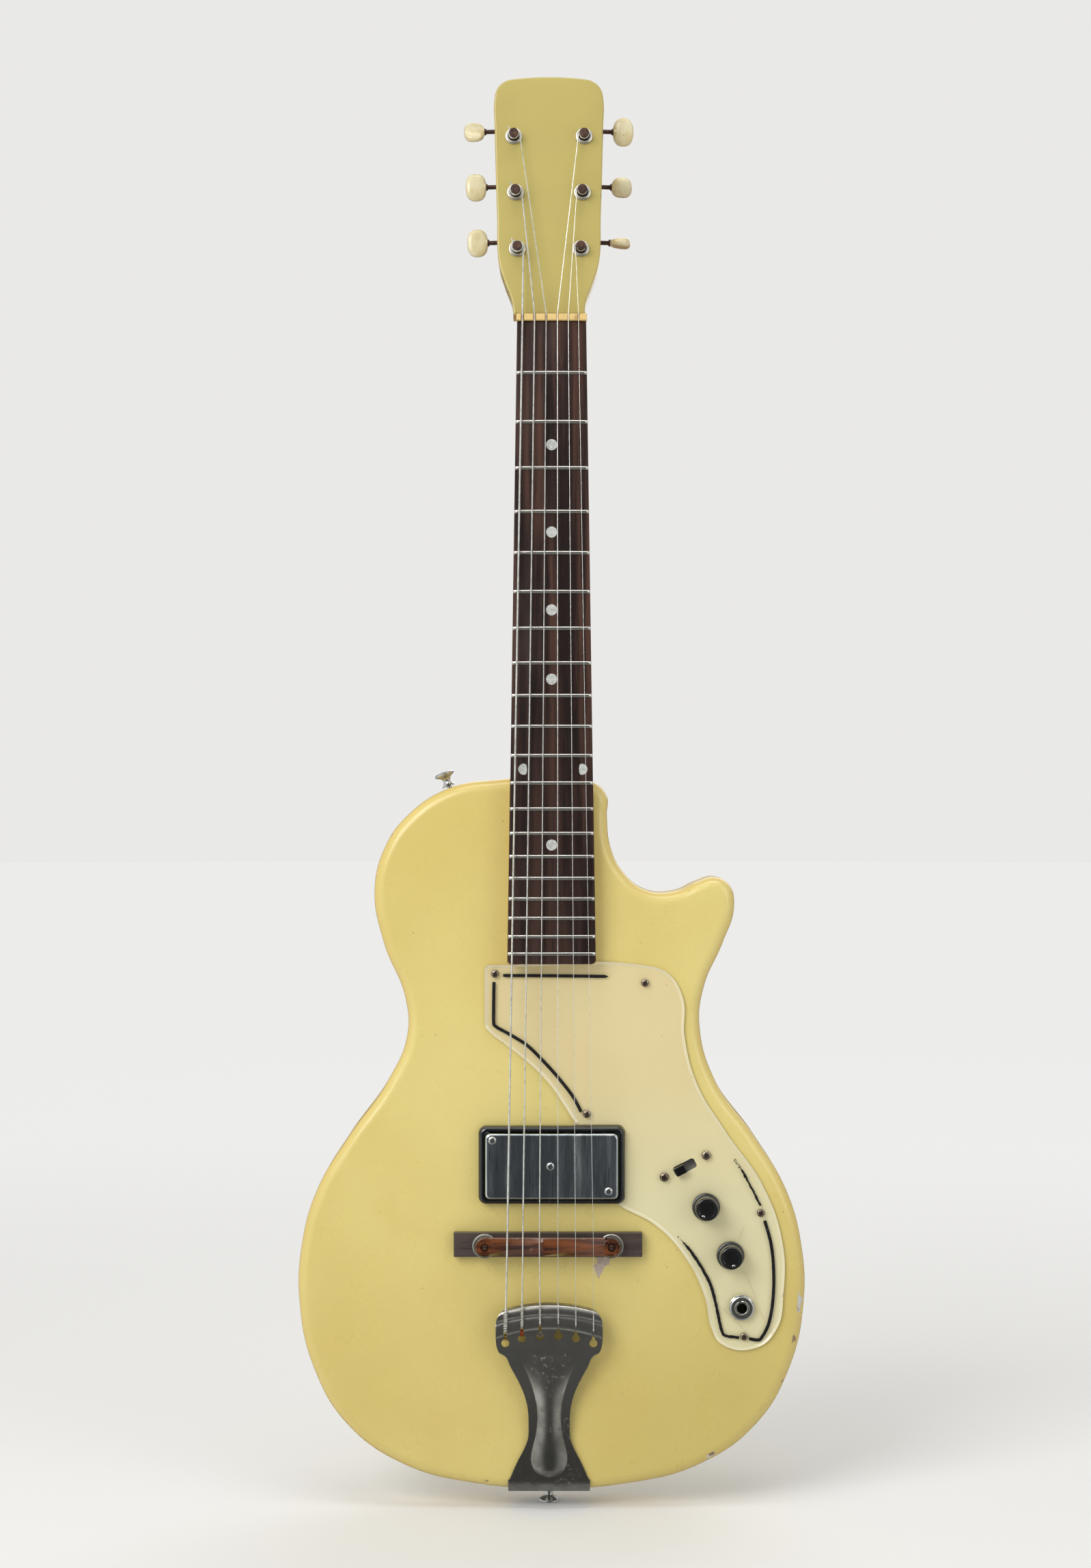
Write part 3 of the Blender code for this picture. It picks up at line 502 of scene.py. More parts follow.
def aged_paint(look):
    """Yellowed cream lacquer: patchy, browner at the rims, with fine dirt specks, and painted shade that
    darkens the lower treble corner.
    """
    base = look.mix(look.patches(5.0, 3, 0.35, 0.68), (0.715, 0.60, 0.215), (0.65, 0.515, 0.156))
    base = look.mix(look.patches(24.0, 5, 0.5, 0.8, 0.0, 0.35), base, (0.66, 0.49, 0.14))
    # Painted shade: the paint goes darker towards the body's lower treble corner.
    corner = look.ease(look.axis("X"), -0.03, 0.10, 0.25, 1.0) * look.ease(look.axis("Z"), -0.52, -0.68)
    base = look.mix(corner * 0.5, base, (0.46, 0.355, 0.085))
    rim = look.ease(look.tilt(), 0.03, 0.6, 0.0, 0.75)
    base = look.mix(rim, base, (0.69, 0.49, 0.115))
    specks = look.ease(look.cells(170.0), 0.09, 0.03) * look.patches(30.0, 4, 0.56, 0.62)
    return look.mix(specks * 0.75, base, (0.16, 0.10, 0.04))


def cream_paint():
    look = Look("cream_paint", 0.3, coat=0.35)
    base = aged_paint(look)
    on_rim = look.ease(look.tilt(), 0.02, 0.12)
    knocked = look.ease(look.axis("X"), 0.02, 0.13) * look.ease(look.axis("Z"), -0.54, -0.63)
    torn = look.noise(55.0, 6, rough=0.62) + look.noise(8.0, 2) * 0.9
    torn = torn + knocked * 0.205
    chips = look.ease(torn, 1.135, 1.15) * on_rim
    primer = look.mix(look.patches(110.0, 3, 0.54, 0.6), (0.55, 0.53, 0.50), (0.26, 0.17, 0.10))
    gone = look.ease(chips, 0.4, 0.6)
    look.colour(look.mix(gone, base, primer))
    look.roughness(look.patches(40.0, 4, 0.3, 0.75, 0.24, 0.42))
    relief = look.noise(9.0, 2) * 0.35 - gone
    look.bump(relief, 0.0003, 0.5)
    return look.material


def neck_wood():
    """Varnished maple behind, and the body's paint on the headstock's face and sides, made darker there as
    painted shade.
    """
    look = Look("maple", 0.35, coat=0.3)
    grain = look.noise(60.0, 6, stretch=(1, 1, 0.05), twist=0.4)
    wood = look.mix(look.ease(grain, 0.35, 0.65), (0.47, 0.27, 0.10), (0.60, 0.38, 0.17))
    fine = look.patches(420.0, 3, 0.58, 0.7, 0.0, 0.5, stretch=(1, 1, 0.03))
    wood = look.mix(fine, wood, (0.30, 0.15, 0.06))
    # Painted shade: the headstock's cream is a darker copy of the body's cream.
    paint = look.mix(look.patches(9.0, 3, 0.35, 0.68), (0.466, 0.384, 0.112), (0.414, 0.338, 0.097))
    paint = look.mix(look.ease(look.tilt(), 0.1, 0.6, 0.0, 0.6), paint, (0.50, 0.36, 0.10))
    on_rim = look.ease(look.tilt(), 0.15, 0.5)
    chips = look.patches(85.0, 5, 0.625, 0.64) * on_rim
    paint = look.mix(chips, paint, (0.20, 0.09, 0.035))
    beyond_nut = look.ease(look.axis("Z"), NUT_HIGH.y * 0.001 - 0.0005, NUT_HIGH.y * 0.001 + 0.0005)
    not_behind = look.ease(look.axis("Y", "Normal"), 0.75, 0.6)
    look.colour(look.mix(beyond_nut * not_behind, wood, paint))
    look.bump(grain, 0.0001, 0.25)
    return look.material


def rosewood():
    look = Look("rosewood", 0.5, specular=0.22)
    streaks = look.noise(95.0, 7, stretch=(1, 1, 0.035), rough=0.62, twist=0.4)
    base = look.mix(look.ease(streaks, 0.4, 0.6), (0.016, 0.008, 0.007), (0.082, 0.036, 0.024))
    worn = look.patches(30.0, 4, 0.48, 0.68, stretch=(1, 1, 0.25)) * 0.45
    base = look.mix(worn, base, (0.085, 0.052, 0.043))
    pores = look.patches(900.0, 3, 0.60, 0.68, stretch=(1, 1, 0.035))
    base = look.mix(look.ease(look.axis("Z"), -0.12, -0.36, 0.0, 0.45), base, (0.010, 0.005, 0.004))
    look.colour(look.mix(pores * 0.7, base, (0.012, 0.006, 0.005)))
    look.roughness(look.ease(streaks, 0.35, 0.65, 0.42, 0.6))
    look.bump(1.0 - pores, 0.00012, 0.5)
    return look.material


def bridge_wood():
    """The base's dark, dry rosewood, with grain along x."""
    look = Look("dark_rosewood", 0.42, coat=0.15)
    streaks = look.noise(55.0, 6, stretch=(0.08, 1, 1), rough=0.6, twist=0.3)
    base = look.mix(look.ease(streaks, 0.3, 0.7), (0.028, 0.017, 0.014), (0.078, 0.056, 0.047))
    pores = look.patches(800.0, 2, 0.6, 0.68, stretch=(0.04, 1, 1))
    look.colour(look.mix(pores, base, (0.02, 0.012, 0.01)))
    look.bump(1.0 - pores, 0.0001, 0.4)
    return look.material


def saddle_wood():
    """Red-brown varnish, rubbed through to paler wood where strings and hands have been."""
    look = Look("saddle_wood", 0.28, coat=0.6)
    streaks = look.noise(170.0, 6, stretch=(0.09, 1, 1), rough=0.6, twist=0.5)
    base = look.mix(look.ease(streaks, 0.42, 0.6), (0.028, 0.007, 0.003), (0.155, 0.043, 0.009))
    worn = look.patches(300.0, 5, 0.6, 0.68) * look.patches(60.0, 2, 0.5, 0.62)
    look.colour(look.mix(worn * 0.38, base, (0.30, 0.16, 0.09)))
    look.roughness(look.ease(worn, 0.0, 1.0, 0.2, 0.5))
    look.bump(worn, 0.00008, 0.4)
    return look.material


def nut_plastic():
    look = Look("nut_plastic", 0.4)
    stain = look.patches(190.0, 5, 0.5, 0.7) * look.ease(look.axis("X"), 0.008, 0.018, 0.15, 0.8)
    look.colour(look.mix(stain, (0.70, 0.50, 0.19), (0.22, 0.11, 0.04)))
    look.bump(look.noise(700.0), 0.00005, 0.3)
    return look.material


def guard_plastic():
    look = Look("guard_plastic", 0.22, coat=0.25)
    base = look.mix(look.patches(7.0, 3, 0.35, 0.65), (0.71, 0.60, 0.325), (0.68, 0.56, 0.285))
    base = look.mix(look.ease(look.axis("Z"), -0.46, -0.56), base, (0.70, 0.645, 0.39))
    base = look.mix(look.ease(look.tilt(), 0.03, 0.09, 0.0, 0.6), base, (0.74, 0.68, 0.47))
    specks = look.ease(look.cells(150.0), 0.08, 0.03) * look.patches(22.0, 4, 0.58, 0.64)
    look.colour(look.mix(specks * 0.7, base, (0.15, 0.10, 0.06)))
    look.roughness(look.patches(60.0, 5, 0.3, 0.8, 0.2, 0.27))
    look.bump(look.noise(11.0, 2), 0.0003, 0.12)
    return look.material


def black_plastic(name="black_plastic", dust=0.25):
    look = Look(name, 0.16, coat=0.4)
    grey = look.patches(320.0, 5, 0.6, 0.78)
    look.colour(look.mix(grey * dust, (0.006, 0.006, 0.006), (0.12, 0.11, 0.10)))
    look.roughness(look.patches(90.0, 5, 0.35, 0.75, 0.1, 0.32))
    return look.material


def printed_black():
    look = Look("printed_black", 0.38)
    grey = look.patches(300.0, 4, 0.55, 0.75, 0.0, 0.5)
    look.colour(look.mix(grey, (0.008, 0.007, 0.008), (0.06, 0.055, 0.05)))
    look.bump(look.noise(900.0), 0.00003, 0.3)
    return look.material


def button_plastic(name, specks=0.0):
    """Ivory plastic, browner towards the shaft and in patches. Specks are dark pits."""
    look = Look(name, 0.3, coat=0.3)
    base = look.mix(look.patches(120.0, 3, 0.4, 0.65), (0.68, 0.615, 0.40), (0.60, 0.50, 0.27))
    base = look.mix(look.ease(look.tilt(), 0.55, 0.95, 0.0, 0.75), base, (0.45, 0.25, 0.07))
    pits = look.patches(520.0, 4, 0.64, 0.68) * specks
    look.colour(look.mix(pits, base, (0.02, 0.016, 0.012)))
    look.bump(look.noise(200.0, 2) - pits, 0.00012, 0.25)
    return look.material


def worn_metal(name, bright, dark, rough=(0.14, 0.34), grime=0.35, rust=0.0, relief=0.00002, foot=None):
    """Plated metal with haze and fine pits. It can have rust, and can be darkened between two heights by
    painted shade.
    """
    look = Look(name, 0.25, metallic=1.0)
    haze = look.noise(75.0, 7, rough=0.66)
    base = look.mix(look.ease(haze, 0.35, 0.75), bright, dark)
    pits = look.patches(1300.0, 3, 0.62, 0.76)
    base = look.mix(pits * grime, base, (0.03, 0.025, 0.02))
    if rust:
        spots = look.patches(430.0, 5, 0.57, 0.66) * look.patches(38.0, 3, 0.5, 0.62)
        spots = spots * rust
        base = look.mix(spots, base, (0.055, 0.022, 0.011))
        look.feed(look.shader.inputs["Metallic"], 1.0 - spots)
    if foot:
        # Painted shade: darker below the first height, most so below the second.
        base = look.mix(look.ease(look.axis("Z"), *foot, 0.0, 0.4), base, (0.05, 0.045, 0.035))
    look.colour(base)
    look.roughness(look.ease(haze, 0.3, 0.75, *rough))
    look.bump(look.noise(1100.0, 3), relief, 0.6)
    return look.material


def cover_chrome():
    """Thin, hazed chrome with rubbed streaks up and down, and a painted reflection that makes it brighter
    towards the treble side.
    """
    look = Look("cover_chrome", 0.2, metallic=1.0)
    streaks = look.noise(150.0, 6, stretch=(1, 1, 0.09), rough=0.7)
    # Painted reflection: the streaks are lifted towards the treble side.
    streaks_and_painted_reflection = look.ease(look.axis("X"), -0.03, 0.035, 0.0, 0.10) + streaks
    base = look.mix(look.ease(streaks_and_painted_reflection, 0.42, 0.85), (0.38, 0.43, 0.48), (0.80, 0.84, 0.86))
    scratches = look.patches(1100.0, 2, 0.60, 0.72, stretch=(1, 1, 0.03))
    look.colour(look.mix(scratches * 0.6, base, (0.10, 0.10, 0.10)))
    look.roughness(look.ease(streaks_and_painted_reflection, 0.4, 0.85, 0.12, 0.34))
    look.bump(streaks, 0.00005, 0.5)
    return look.material


def plain_look(name, first, second, roughness, metallic=0.0, scale=150.0, specular=0.5):
    """Two mottled colours, for small and hidden pieces."""
    look = Look(name, roughness, metallic, specular=specular)
    look.colour(look.mix(look.ease(look.noise(scale, 4), 0.38, 0.66), first, second))
    look.bump(look.noise(scale * 5, 3), 0.00003, 0.4)
    return look.material


def string_look(name, colour, wound=0.0):
    """Nickel wire. A wound string has fine bands across it."""
    look = Look(name, 0.42, metallic=1.0)
    dull = tuple(0.75 * part for part in colour)
    look.colour(look.mix(look.patches(300.0, 3, 0.4, 0.7), colour, dull))
    if wound:
        look.bump(look.waves(wound, "Z"), 0.00008, 0.8)
    return look.material


CREAM = cream_paint()
MAPLE = neck_wood()
ROSEWOOD = rosewood()
BASE_WOOD = bridge_wood()
SADDLE_WOOD = saddle_wood()
NUT_LOOK = nut_plastic()
GUARD = guard_plastic()
BLACK = black_plastic()
RING_BLACK = black_plastic("ring_plastic", 0.5)
PRINT = printed_black()
BUTTON = button_plastic("button_plastic")
SPECKLED_BUTTON = button_plastic("speckled_button_plastic", 0.9)
CHROME = worn_metal("chrome", (0.62, 0.61, 0.58), (0.42, 0.41, 0.38), grime=0.5)
COVER_CHROME = cover_chrome()
# Heights where the tailpiece's foot gets painted shade, as it bends round the body's end.
TAIL_SHADE_HEIGHTS = (-0.64, -0.70)
NICKEL = worn_metal(
    "aged_nickel", (0.50, 0.48, 0.43), (0.27, 0.255, 0.225), (0.24, 0.42), 0.45, 0.55, 0.00005, TAIL_SHADE_HEIGHTS
)
STEEL = worn_metal("steel", (0.55, 0.53, 0.49), (0.34, 0.32, 0.29), (0.3, 0.5), 0.5, 0.6)
SCREW = worn_metal("screw_nickel", (0.38, 0.31, 0.24), (0.17, 0.125, 0.09), (0.22, 0.42), 0.6, 0.85)
BROWN_STEEL = plain_look("browned_steel", (0.050, 0.024, 0.017), (0.11, 0.055, 0.035), 0.42, 0.4, 260.0)
COPPER = plain_look("copper_wire", (0.42, 0.13, 0.05), (0.30, 0.08, 0.03), 0.35, 0.9, 500.0)
MAGNET = plain_look("magnet_grey", (0.10, 0.10, 0.10), (0.16, 0.155, 0.15), 0.6, 0.3, 400.0)
FRET = worn_metal("fret_nickel", (0.62, 0.60, 0.55), (0.45, 0.42, 0.37), (0.2, 0.38), 0.3)
DOT = plain_look("pearl_dot", (0.55, 0.56, 0.53), (0.40, 0.41, 0.39), 0.25, 0.0, 500.0)
BRASS = plain_look("brass", (0.55, 0.37, 0.12), (0.36, 0.20, 0.05), 0.3, 1.0, 400.0)
RED_BRASS = plain_look("red_lacquered_brass", (0.50, 0.09, 0.02), (0.34, 0.05, 0.01), 0.25, 0.7, 400.0)
PLAIN_STRING = string_look("plain_string", (0.82, 0.82, 0.78))
WOUND_STRING = string_look("wound_string", (0.76, 0.75, 0.70), 1400.0)
CRACK = plain_look("crack_line", (0.42, 0.32, 0.17), (0.52, 0.42, 0.24), 0.6)
WORN_CHROME = worn_metal("worn_chrome", (0.75, 0.73, 0.69), (0.50, 0.47, 0.42), (0.34, 0.5), 0.5)
BARE_PATCH = plain_look("bare_primer", (0.50, 0.41, 0.34), (0.40, 0.31, 0.27), 0.5, 0.0, 420.0)


# ---------------------------------------------------------------- screws


def cross_recess(width, bottom, top):
    """The cutter of a cross-head screw's recess."""
    slot = 0.26 * width
    depth, middle = top - bottom, (0, 0, (top + bottom) / 2)
    return fuse(block((width, slot, depth), middle), block((slot, width, depth), middle))


def screw_head(radius, height, seat=-0.3):
    """A domed cross-head, whose edge sits on z = 0."""
    profile = [(radius, seat), (radius, 0.12 * height), (0.96 * radius, 0.3 * height)]
    for degrees in (25, 45, 62, 76, 86):
        angle = math.radians(degrees)
        profile.append((0.96 * radius * math.cos(angle), (0.3 + 0.7 * math.sin(angle)) * height))
    profile.append((0.02, height))
    return cut(revolved(profile, 32), cross_recess(1.2 * radius, -0.1 * height, height + 1))


def screw(name, place, radius, height, look=SCREW, stands_for=()):
    twist = turn(random.Random(name).uniform(0, 90), "Z")
    piece(name, screw_head(radius, height), look, place @ twist, stands_for=stands_for)


# ---------------------------------------------------------------- neck, fingerboard and frets


def board_half(y):
    """Half the fingerboard's width, y from the nut."""
    return BOARD_HALVES[0] + (BOARD_HALVES[1] - BOARD_HALVES[0]) * y / BOARD_END


def board_z(x):
    return BOARD_TOP - BOARD_CROWN + math.sqrt(BOARD_CROWN**2 - x * x)


def eased(stations, steps):
    """Rows between the stations, which change smoothly. Their first two values change evenly."""
    rows = []
    for first, second in zip(stations, stations[1:]):
        for step in range(steps):
            t = step / steps
            soft = t * t * (3 - 2 * t)
            shares = (t, t, soft, soft, soft)
            rows.append([a + (b - a) * share for a, b, share in zip(first, second, shares)])
    return [*rows, stations[-1]]


def neck_ring(y, half, top, bottom, squareness):
    """A flat front with a back that goes from a D (squareness 2.3) to a block (8)."""
    points = []
    sides = 36
    for i in range(sides + 1):
        angle = math.pi * i / sides
        across = math.copysign(abs(math.cos(angle)) ** (2 / squareness), math.cos(angle))
        down = abs(math.sin(angle)) ** (2 / squareness)
        points.append((half * across, y, top - (top - bottom) * down))
    return points


def bolt_holes(place, radius, top, steps=32):
    """Cutters for the neck's four bolts, in this place's own frame."""
    spots = [place.inverted() @ at(*centre(f"neck_bolt_{number}").xy) for number in range(1, 5)]
    return [moved(drill(radius, -60, top, steps), spot) for spot in spots]


def make_neck():
    join = JOIN_Y - NUT_Y
    stations = [
        (24, 13.0, 2.5, -9.6, 2.3),
        (13, 18.5, 5.0, -10.2, 2.3),
        (4.2, BOARD_HALVES[0], NECK_TOP, -9.6, 2.3),
        (0, BOARD_HALVES[0], NECK_TOP, -9.0, 2.3),
        (-120, board_half(-120), NECK_TOP, -9.8, 2.3),
        (join + 50, board_half(join + 50), NECK_TOP, -10.6, 2.3),
        (join + 26, board_half(join + 26), NECK_TOP, -11.6, 2.6),
        (join + 12, board_half(join + 12), NECK_TOP, -14.0, 4.0),
        (join + 3, board_half(join + 3), NECK_TOP, HEEL_BACK, 8.0),
        (BOARD_END + 0.3, board_half(BOARD_END), NECK_TOP, HEEL_BACK, 8.0),
    ]
    shaft = moved(loft([neck_ring(*row) for row in eased(stations, 6)]), NECK)

    side = [(21.6, 0), (22.4, 8), (26.6, 20), (30.4, 33), (31.6, 62), (33.2, 118), (33.4, 136.5)]
    side += [(31.8, 143.2), (27.2, 147.9), (20.9, 149.6)]
    outline = side + [(-x, y) for x, y in reversed(side)]
    corners = (0, len(outline) - 1)
    knots = [(x, y, "corner") if i in corners else (x, y) for i, (x, y) in enumerate(outline)]
    head = moved(slab(knots, -HEAD_THICKNESS, 0, edge=1.2), HEAD)
    holes = []
    for way in (-1, 1):
        for row in (-1, 0, 1):
            place = strip_frame(way) @ at(0, row * POST_PITCH)
            holes.append(moved(drill(4.6, -HEAD_THICKNESS - 4, 3), place))
    neck = cut(fuse(shaft, head), together(*holes, *bolt_holes(ORIGIN, BOLT_HOLE, 4.2)))
    piece("neck_and_headstock", neck, MAPLE, stands_for=["neck"])


def make_fingerboard():
    def ring(y, half, fall=0.0):
        edge = 0.5
        xs = [half - edge - 2 * (half - edge) * i / 40 for i in range(41)]
        top = [(x, y, board_z(x) - fall) for x in xs]
        side_top = board_z(half) - edge - fall
        sides = [(-half, y, side_top), (-half, y, BOARD_LOW.z), (half, y, BOARD_LOW.z)]
        return [(half, y, side_top), *top, *sides]

    half = board_half(BOARD_END)
    rings = [ring(-0.3, board_half(0), 0.3), ring(-0.7, board_half(-0.7))]
    rings += [ring(-20.0 * i, board_half(-20.0 * i)) for i in range(1, 20)]
    radius = 2.6
    for degrees in range(0, 91, 15):
        angle = math.radians(degrees)
        y = BOARD_END + radius * (1 - math.sin(angle))
        rings.append(ring(y, half - radius * (1 - math.cos(angle))))
    board = loft(rings)
    slots = [block((60, 0.9, 4), (0, fret_y(fret), BOARD_TOP + 0.4)) for fret in range(1, 21)]
    board = cut(board, together(*slots))
    piece("fretboard", board, ROSEWOOD, NECK, stands_for=["fingerboard"])


def fret_y(fret):
    return -SCALE_LENGTH * (1 - 2 ** (-fret / 12))


def make_frets():
    """Each crown follows the board and is filed to a slope at both ends."""
    wires = []
    for fret in range(1, 21):
        y = fret_y(fret)
        reach = board_half(y) - 0.1
        rings = []
        for i in range(-20, 21):
            x = reach * math.copysign(abs(i / 20) ** 0.85, i)
            slope = min(1.0, 0.25 + (reach - abs(x)) / 1.0)
            arc = []
            for step in range(9):
                angle = math.pi * step / 8
                arc.append((x, y + 1.15 * math.cos(angle), board_z(x) + 0.95 * slope * math.sin(angle)))
            rings.append([*arc, (x, y - 0.4, board_z(x) - 0.9), (x, y + 0.4, board_z(x) - 0.9)])
        wires.append(loft(rings))
    piece("frets", together(*wires), FRET, NECK, angle=50)


def make_dots():
    """Pearl dots at frets 3, 5, 7, 9 and 15, and a pair at the 12th."""
    dots = []
    for fret, xs in ((3, (0,)), (5, (0,)), (7, (0,)), (9, (0,)), (12, (-16.8, 18.3)), (15, (0,))):
        y = (fret_y(fret) + fret_y(fret - 1)) / 2
        for x in xs:
            rim = board_z(x)
            profile = [(3.35, rim - 0.8), (3.35, rim + 0.03), (3.1, rim + 0.1), (1.6, rim + 0.13)]
            profile.append((0.05, rim + 0.14))
            dots.append(moved(revolved(profile, 40), at(x, y)))
    piece("position_dots", together(*dots), DOT, NECK)


def make_nut():
    width, length, height = NUT_HIGH - NUT_LOW
    middle = (0, (NUT_LOW.y + NUT_HIGH.y) / 2, NUT_LOW.z + height / 2)
    blank = block((width, length, height), middle, bevel=0.7, segments=4)
    slots = []
    for number, radius in STRING_RADII.items():
        x = string_x_at_nut(number)
        slots.append(block((2 * radius + 0.9, length + 2, 3), (x, middle[1], 15.2 - radius + 0.1)))
    piece("nut_with_slots", cut(blank, together(*slots)), NUT_LOOK, stands_for=["nut"])


def string_points(number):
    """The points of the string's CAD wire, lying down, in millimetres."""
    places = [vertex.co for vertex in frame["nodes"][f"string_{number}"].data.vertices]
    return [(place.x * 1000, place.z * 1000, -place.y * 1000) for place in places]


def string_x_at_nut(number):
    """The string's middle over the nut."""
    near = [x for x, y, _ in string_points(number) if NUT_Y - 1 < y < NUT_HIGH.y + 1]
    return (min(near) + max(near)) / 2


# ---------------------------------------------------------------- tuners


def tuner_place(number):
    side = -1 if number > 3 else 1
    row = {6: 0, 5: 1, 4: 2, 1: 0, 2: 1, 3: 2}[number]
    return side, strip_frame(side) @ at(0, (row - 1) * POST_PITCH)


def make_bushing(number, place):
    profile = [(3.3, -9), (4.2, -9), (4.2, 0.3), (5.15, 0.3), (5.15, 0.6), (5.0, 0.95), (4.6, 1.15)]
    profile += [(4.35, 1.3), (4.25, 1.7), (4.05, 1.9), (3.55, 1.9), (3.3, 1.7)]
    mesh = revolved(profile, 48, ring=True)
    node = f"tuner_bushing_{number}"
    piece(f"bushing_{number}", mesh, WORN_CHROME, place, stands_for=[node])


def make_post(number, side, place):
    """The post is waisted where the string winds on, and its gear turns with it."""
    body = f"tuner_post_{number}"
    gear_top, gear_bottom = WORM_Z + 1.5, WORM_Z - 1.5
    profile = [(POST_RADIUS - 0.5, gear_bottom - 1.5), (POST_RADIUS, gear_bottom - 1.0), (POST_RADIUS, 2.4)]
    profile += [(2.62, 3.0), (2.5, 4.2), (2.62, 5.4), (POST_RADIUS, 6.0), (POST_RADIUS, POST_TOP - 0.35)]
    profile += [(POST_RADIUS - 0.12, POST_TOP - 0.1), (POST_RADIUS - 0.4, POST_TOP)]
    profile += [(0.9, POST_TOP), (0.5, POST_TOP - 0.25)]
    hole = moved(drill(0.75, -6, 6, 16), at(0, 0, 4.2) @ turn(90, "X"))
    piece(f"post_{number}", cut(revolved(profile, 40), hole), BROWN_STEEL, place, body, [body])

    tooth = ((-0.36, 6.6), (-0.27, 6.95), (-0.12, 7.7), (0.12, 7.7), (0.27, 6.95), (0.36, 6.6))
    teeth = []
    for i in range(GEAR_TEETH):
        teeth += [polar(radius, math.tau * (i + share) / GEAR_TEETH) for share, radius in tooth]
    gear = slab(teeth, gear_bottom, gear_top, edge=0.12, straight=True, edge_steps=1)
    held = [(2.5, gear_bottom + 0.2), (2.5, gear_bottom - 1.4), (2.2, gear_bottom - 1.8)]
    held.append((0.1, gear_bottom - 1.9))
    slot_cut = block((6, 0.6, 0.9), (0, 0, gear_bottom - 1.8))
    gear = fuse(gear, drill(3.6, gear_top - 0.5, gear_top + 0.5))
    parts = together(gear, cut(revolved(held, 32), slot_cut))
    piece(f"gear_{number}", parts, BRASS, place, body)

    radius = STRING_RADII[number]
    turns = WINDING_TURNS[number]
    wind = 2.55 + radius
    bottom = 4.2 - max(0.0, (turns - 1) * radius * 1.05)
    coil = helix(wind, bottom, min(bottom + turns * radius * 2.1, 5.9), turns, 0 if side < 0 else 180)
    away = Vector((*STRING_TIPS[number], 0.35)).normalized()
    start = Vector((0, 0, 4.25))
    reach = 6.0 if number > 3 else 4.4
    tail = [start + away * reach * share + Vector((0, 0, 0.25 * share)) for share in (0.2, 0.5, 0.75, 1.0)]
    wire = together(tube(coil, radius, 8), tube(tail, radius, 8))
    look = WOUND_STRING if number > 3 else PLAIN_STRING
    piece(f"string_winding_{number}", wire, look, place, body)


def make_button(number, side, place):
    """The worm on its shaft, and the oval button at its end."""
    body = f"tuner_button_{number}"
    worm_place = place @ at(0, WORM_OFFSET, WORM_Z) @ turn(side * BUTTON_TURNS[number], "X")
    worm_place = worm_place @ turn(90 * side, "Y")
    # Turned about z, which now points out of the headstock
    shaft = [(1.1, -7.5), (1.35, -7.2), (1.35, 16.9), (1.9, 17.0), (2.1, 17.4), (2.1, 18.4)]
    core = revolved([(1.35, -4.3), (1.75, -4.1), (1.75, 4.1), (1.35, 4.3)], 32)
    thread = tube(helix(1.85, -3.6, 3.6, 3.2, steps=24), 0.5, 6)
    mesh = together(revolved(shaft, 32), core, thread)
    piece(f"worm_shaft_{number}", mesh, BROWN_STEEL, worm_place, body)

    rings = []
    for step in range(29):
        share = -math.cos(math.pi * (step + 0.35) / 28.7)
        wide = 8.7 * (1 - abs(share) ** 2.45) ** (1 / 2.45)
        deep = (2.8 + 0.7 * share) * (1 - abs(share) ** 4.5) ** 0.45
        ring = []
        for i in range(48):
            angle = math.tau * i / 48
            across = math.copysign(abs(math.cos(angle)) ** 0.8, math.cos(angle))
            out = math.copysign(abs(math.sin(angle)) ** 0.8, math.sin(angle))
            ring.append((deep * out, wide * across, BUTTON_CENTRE + 6.45 * share))
        rings.append(ring)
    neck_of_button = revolved([(1.8, 17.0), (1.95, 17.3), (2.1, 18.2), (2.5, 20.0)], 32)
    look = SPECKLED_BUTTON if number == 3 else BUTTON
    mesh = fuse(loft(rings), neck_of_button)
    piece(f"button_{number}", mesh, look, worm_place, body, [body])


def make_plate(name, side):
    """The steel strip behind three tuners, with the ears that carry the worms and its wood screws."""
    thickness = 1.2
    outline = [(x, y + 4) for x, y in rectangle(17.0, 2 * POST_PITCH + 34, 3.0)]
    strip = slab(outline, STRIP_TOP - thickness, STRIP_TOP, edge=0.25, straight=True, edge_steps=2)
    ears = []
    cuts = []
    for row in range(3):
        y = (row - 1) * POST_PITCH
        for x in (-5.6, 5.6):
            top, bottom = STRIP_TOP - 0.4, WORM_Z - 3.0
            middle = (x, y + WORM_OFFSET, (top + bottom) / 2)
            ears.append(block((1.6, 6.4, top - bottom), middle, bevel=0.35))
        cuts.append(moved(drill(1.65, -9, 9, 24), at(0, y + WORM_OFFSET, WORM_Z) @ turn(90, "Y")))
        cuts.append(moved(drill(3.3, STRIP_TOP - 3, STRIP_TOP + 1), at(0, y)))
    plate = cut(fuse(strip, together(*ears)), together(*cuts))
    place = strip_frame(side)
    piece(f"strip_{name}", plate, STEEL, place, stands_for=[f"tuner_plate_{name}"])
    for row, y in enumerate((-46.5, -14.5, 22.5, 53.5)):
        seat = place @ at(0, y, STRIP_TOP - thickness) @ turn(180, "X")
        screw(f"strip_screw_{name}_{row}", seat, 2.4, 1.1)


def make_tuners():
    for number in range(1, 7):
        side, place = tuner_place(number)
        make_bushing(number, place)
        make_post(number, side, place)
        make_button(number, side, place)
    make_plate("bass", -1)
    make_plate("treble", 1)


# ---------------------------------------------------------------- body and pickguard

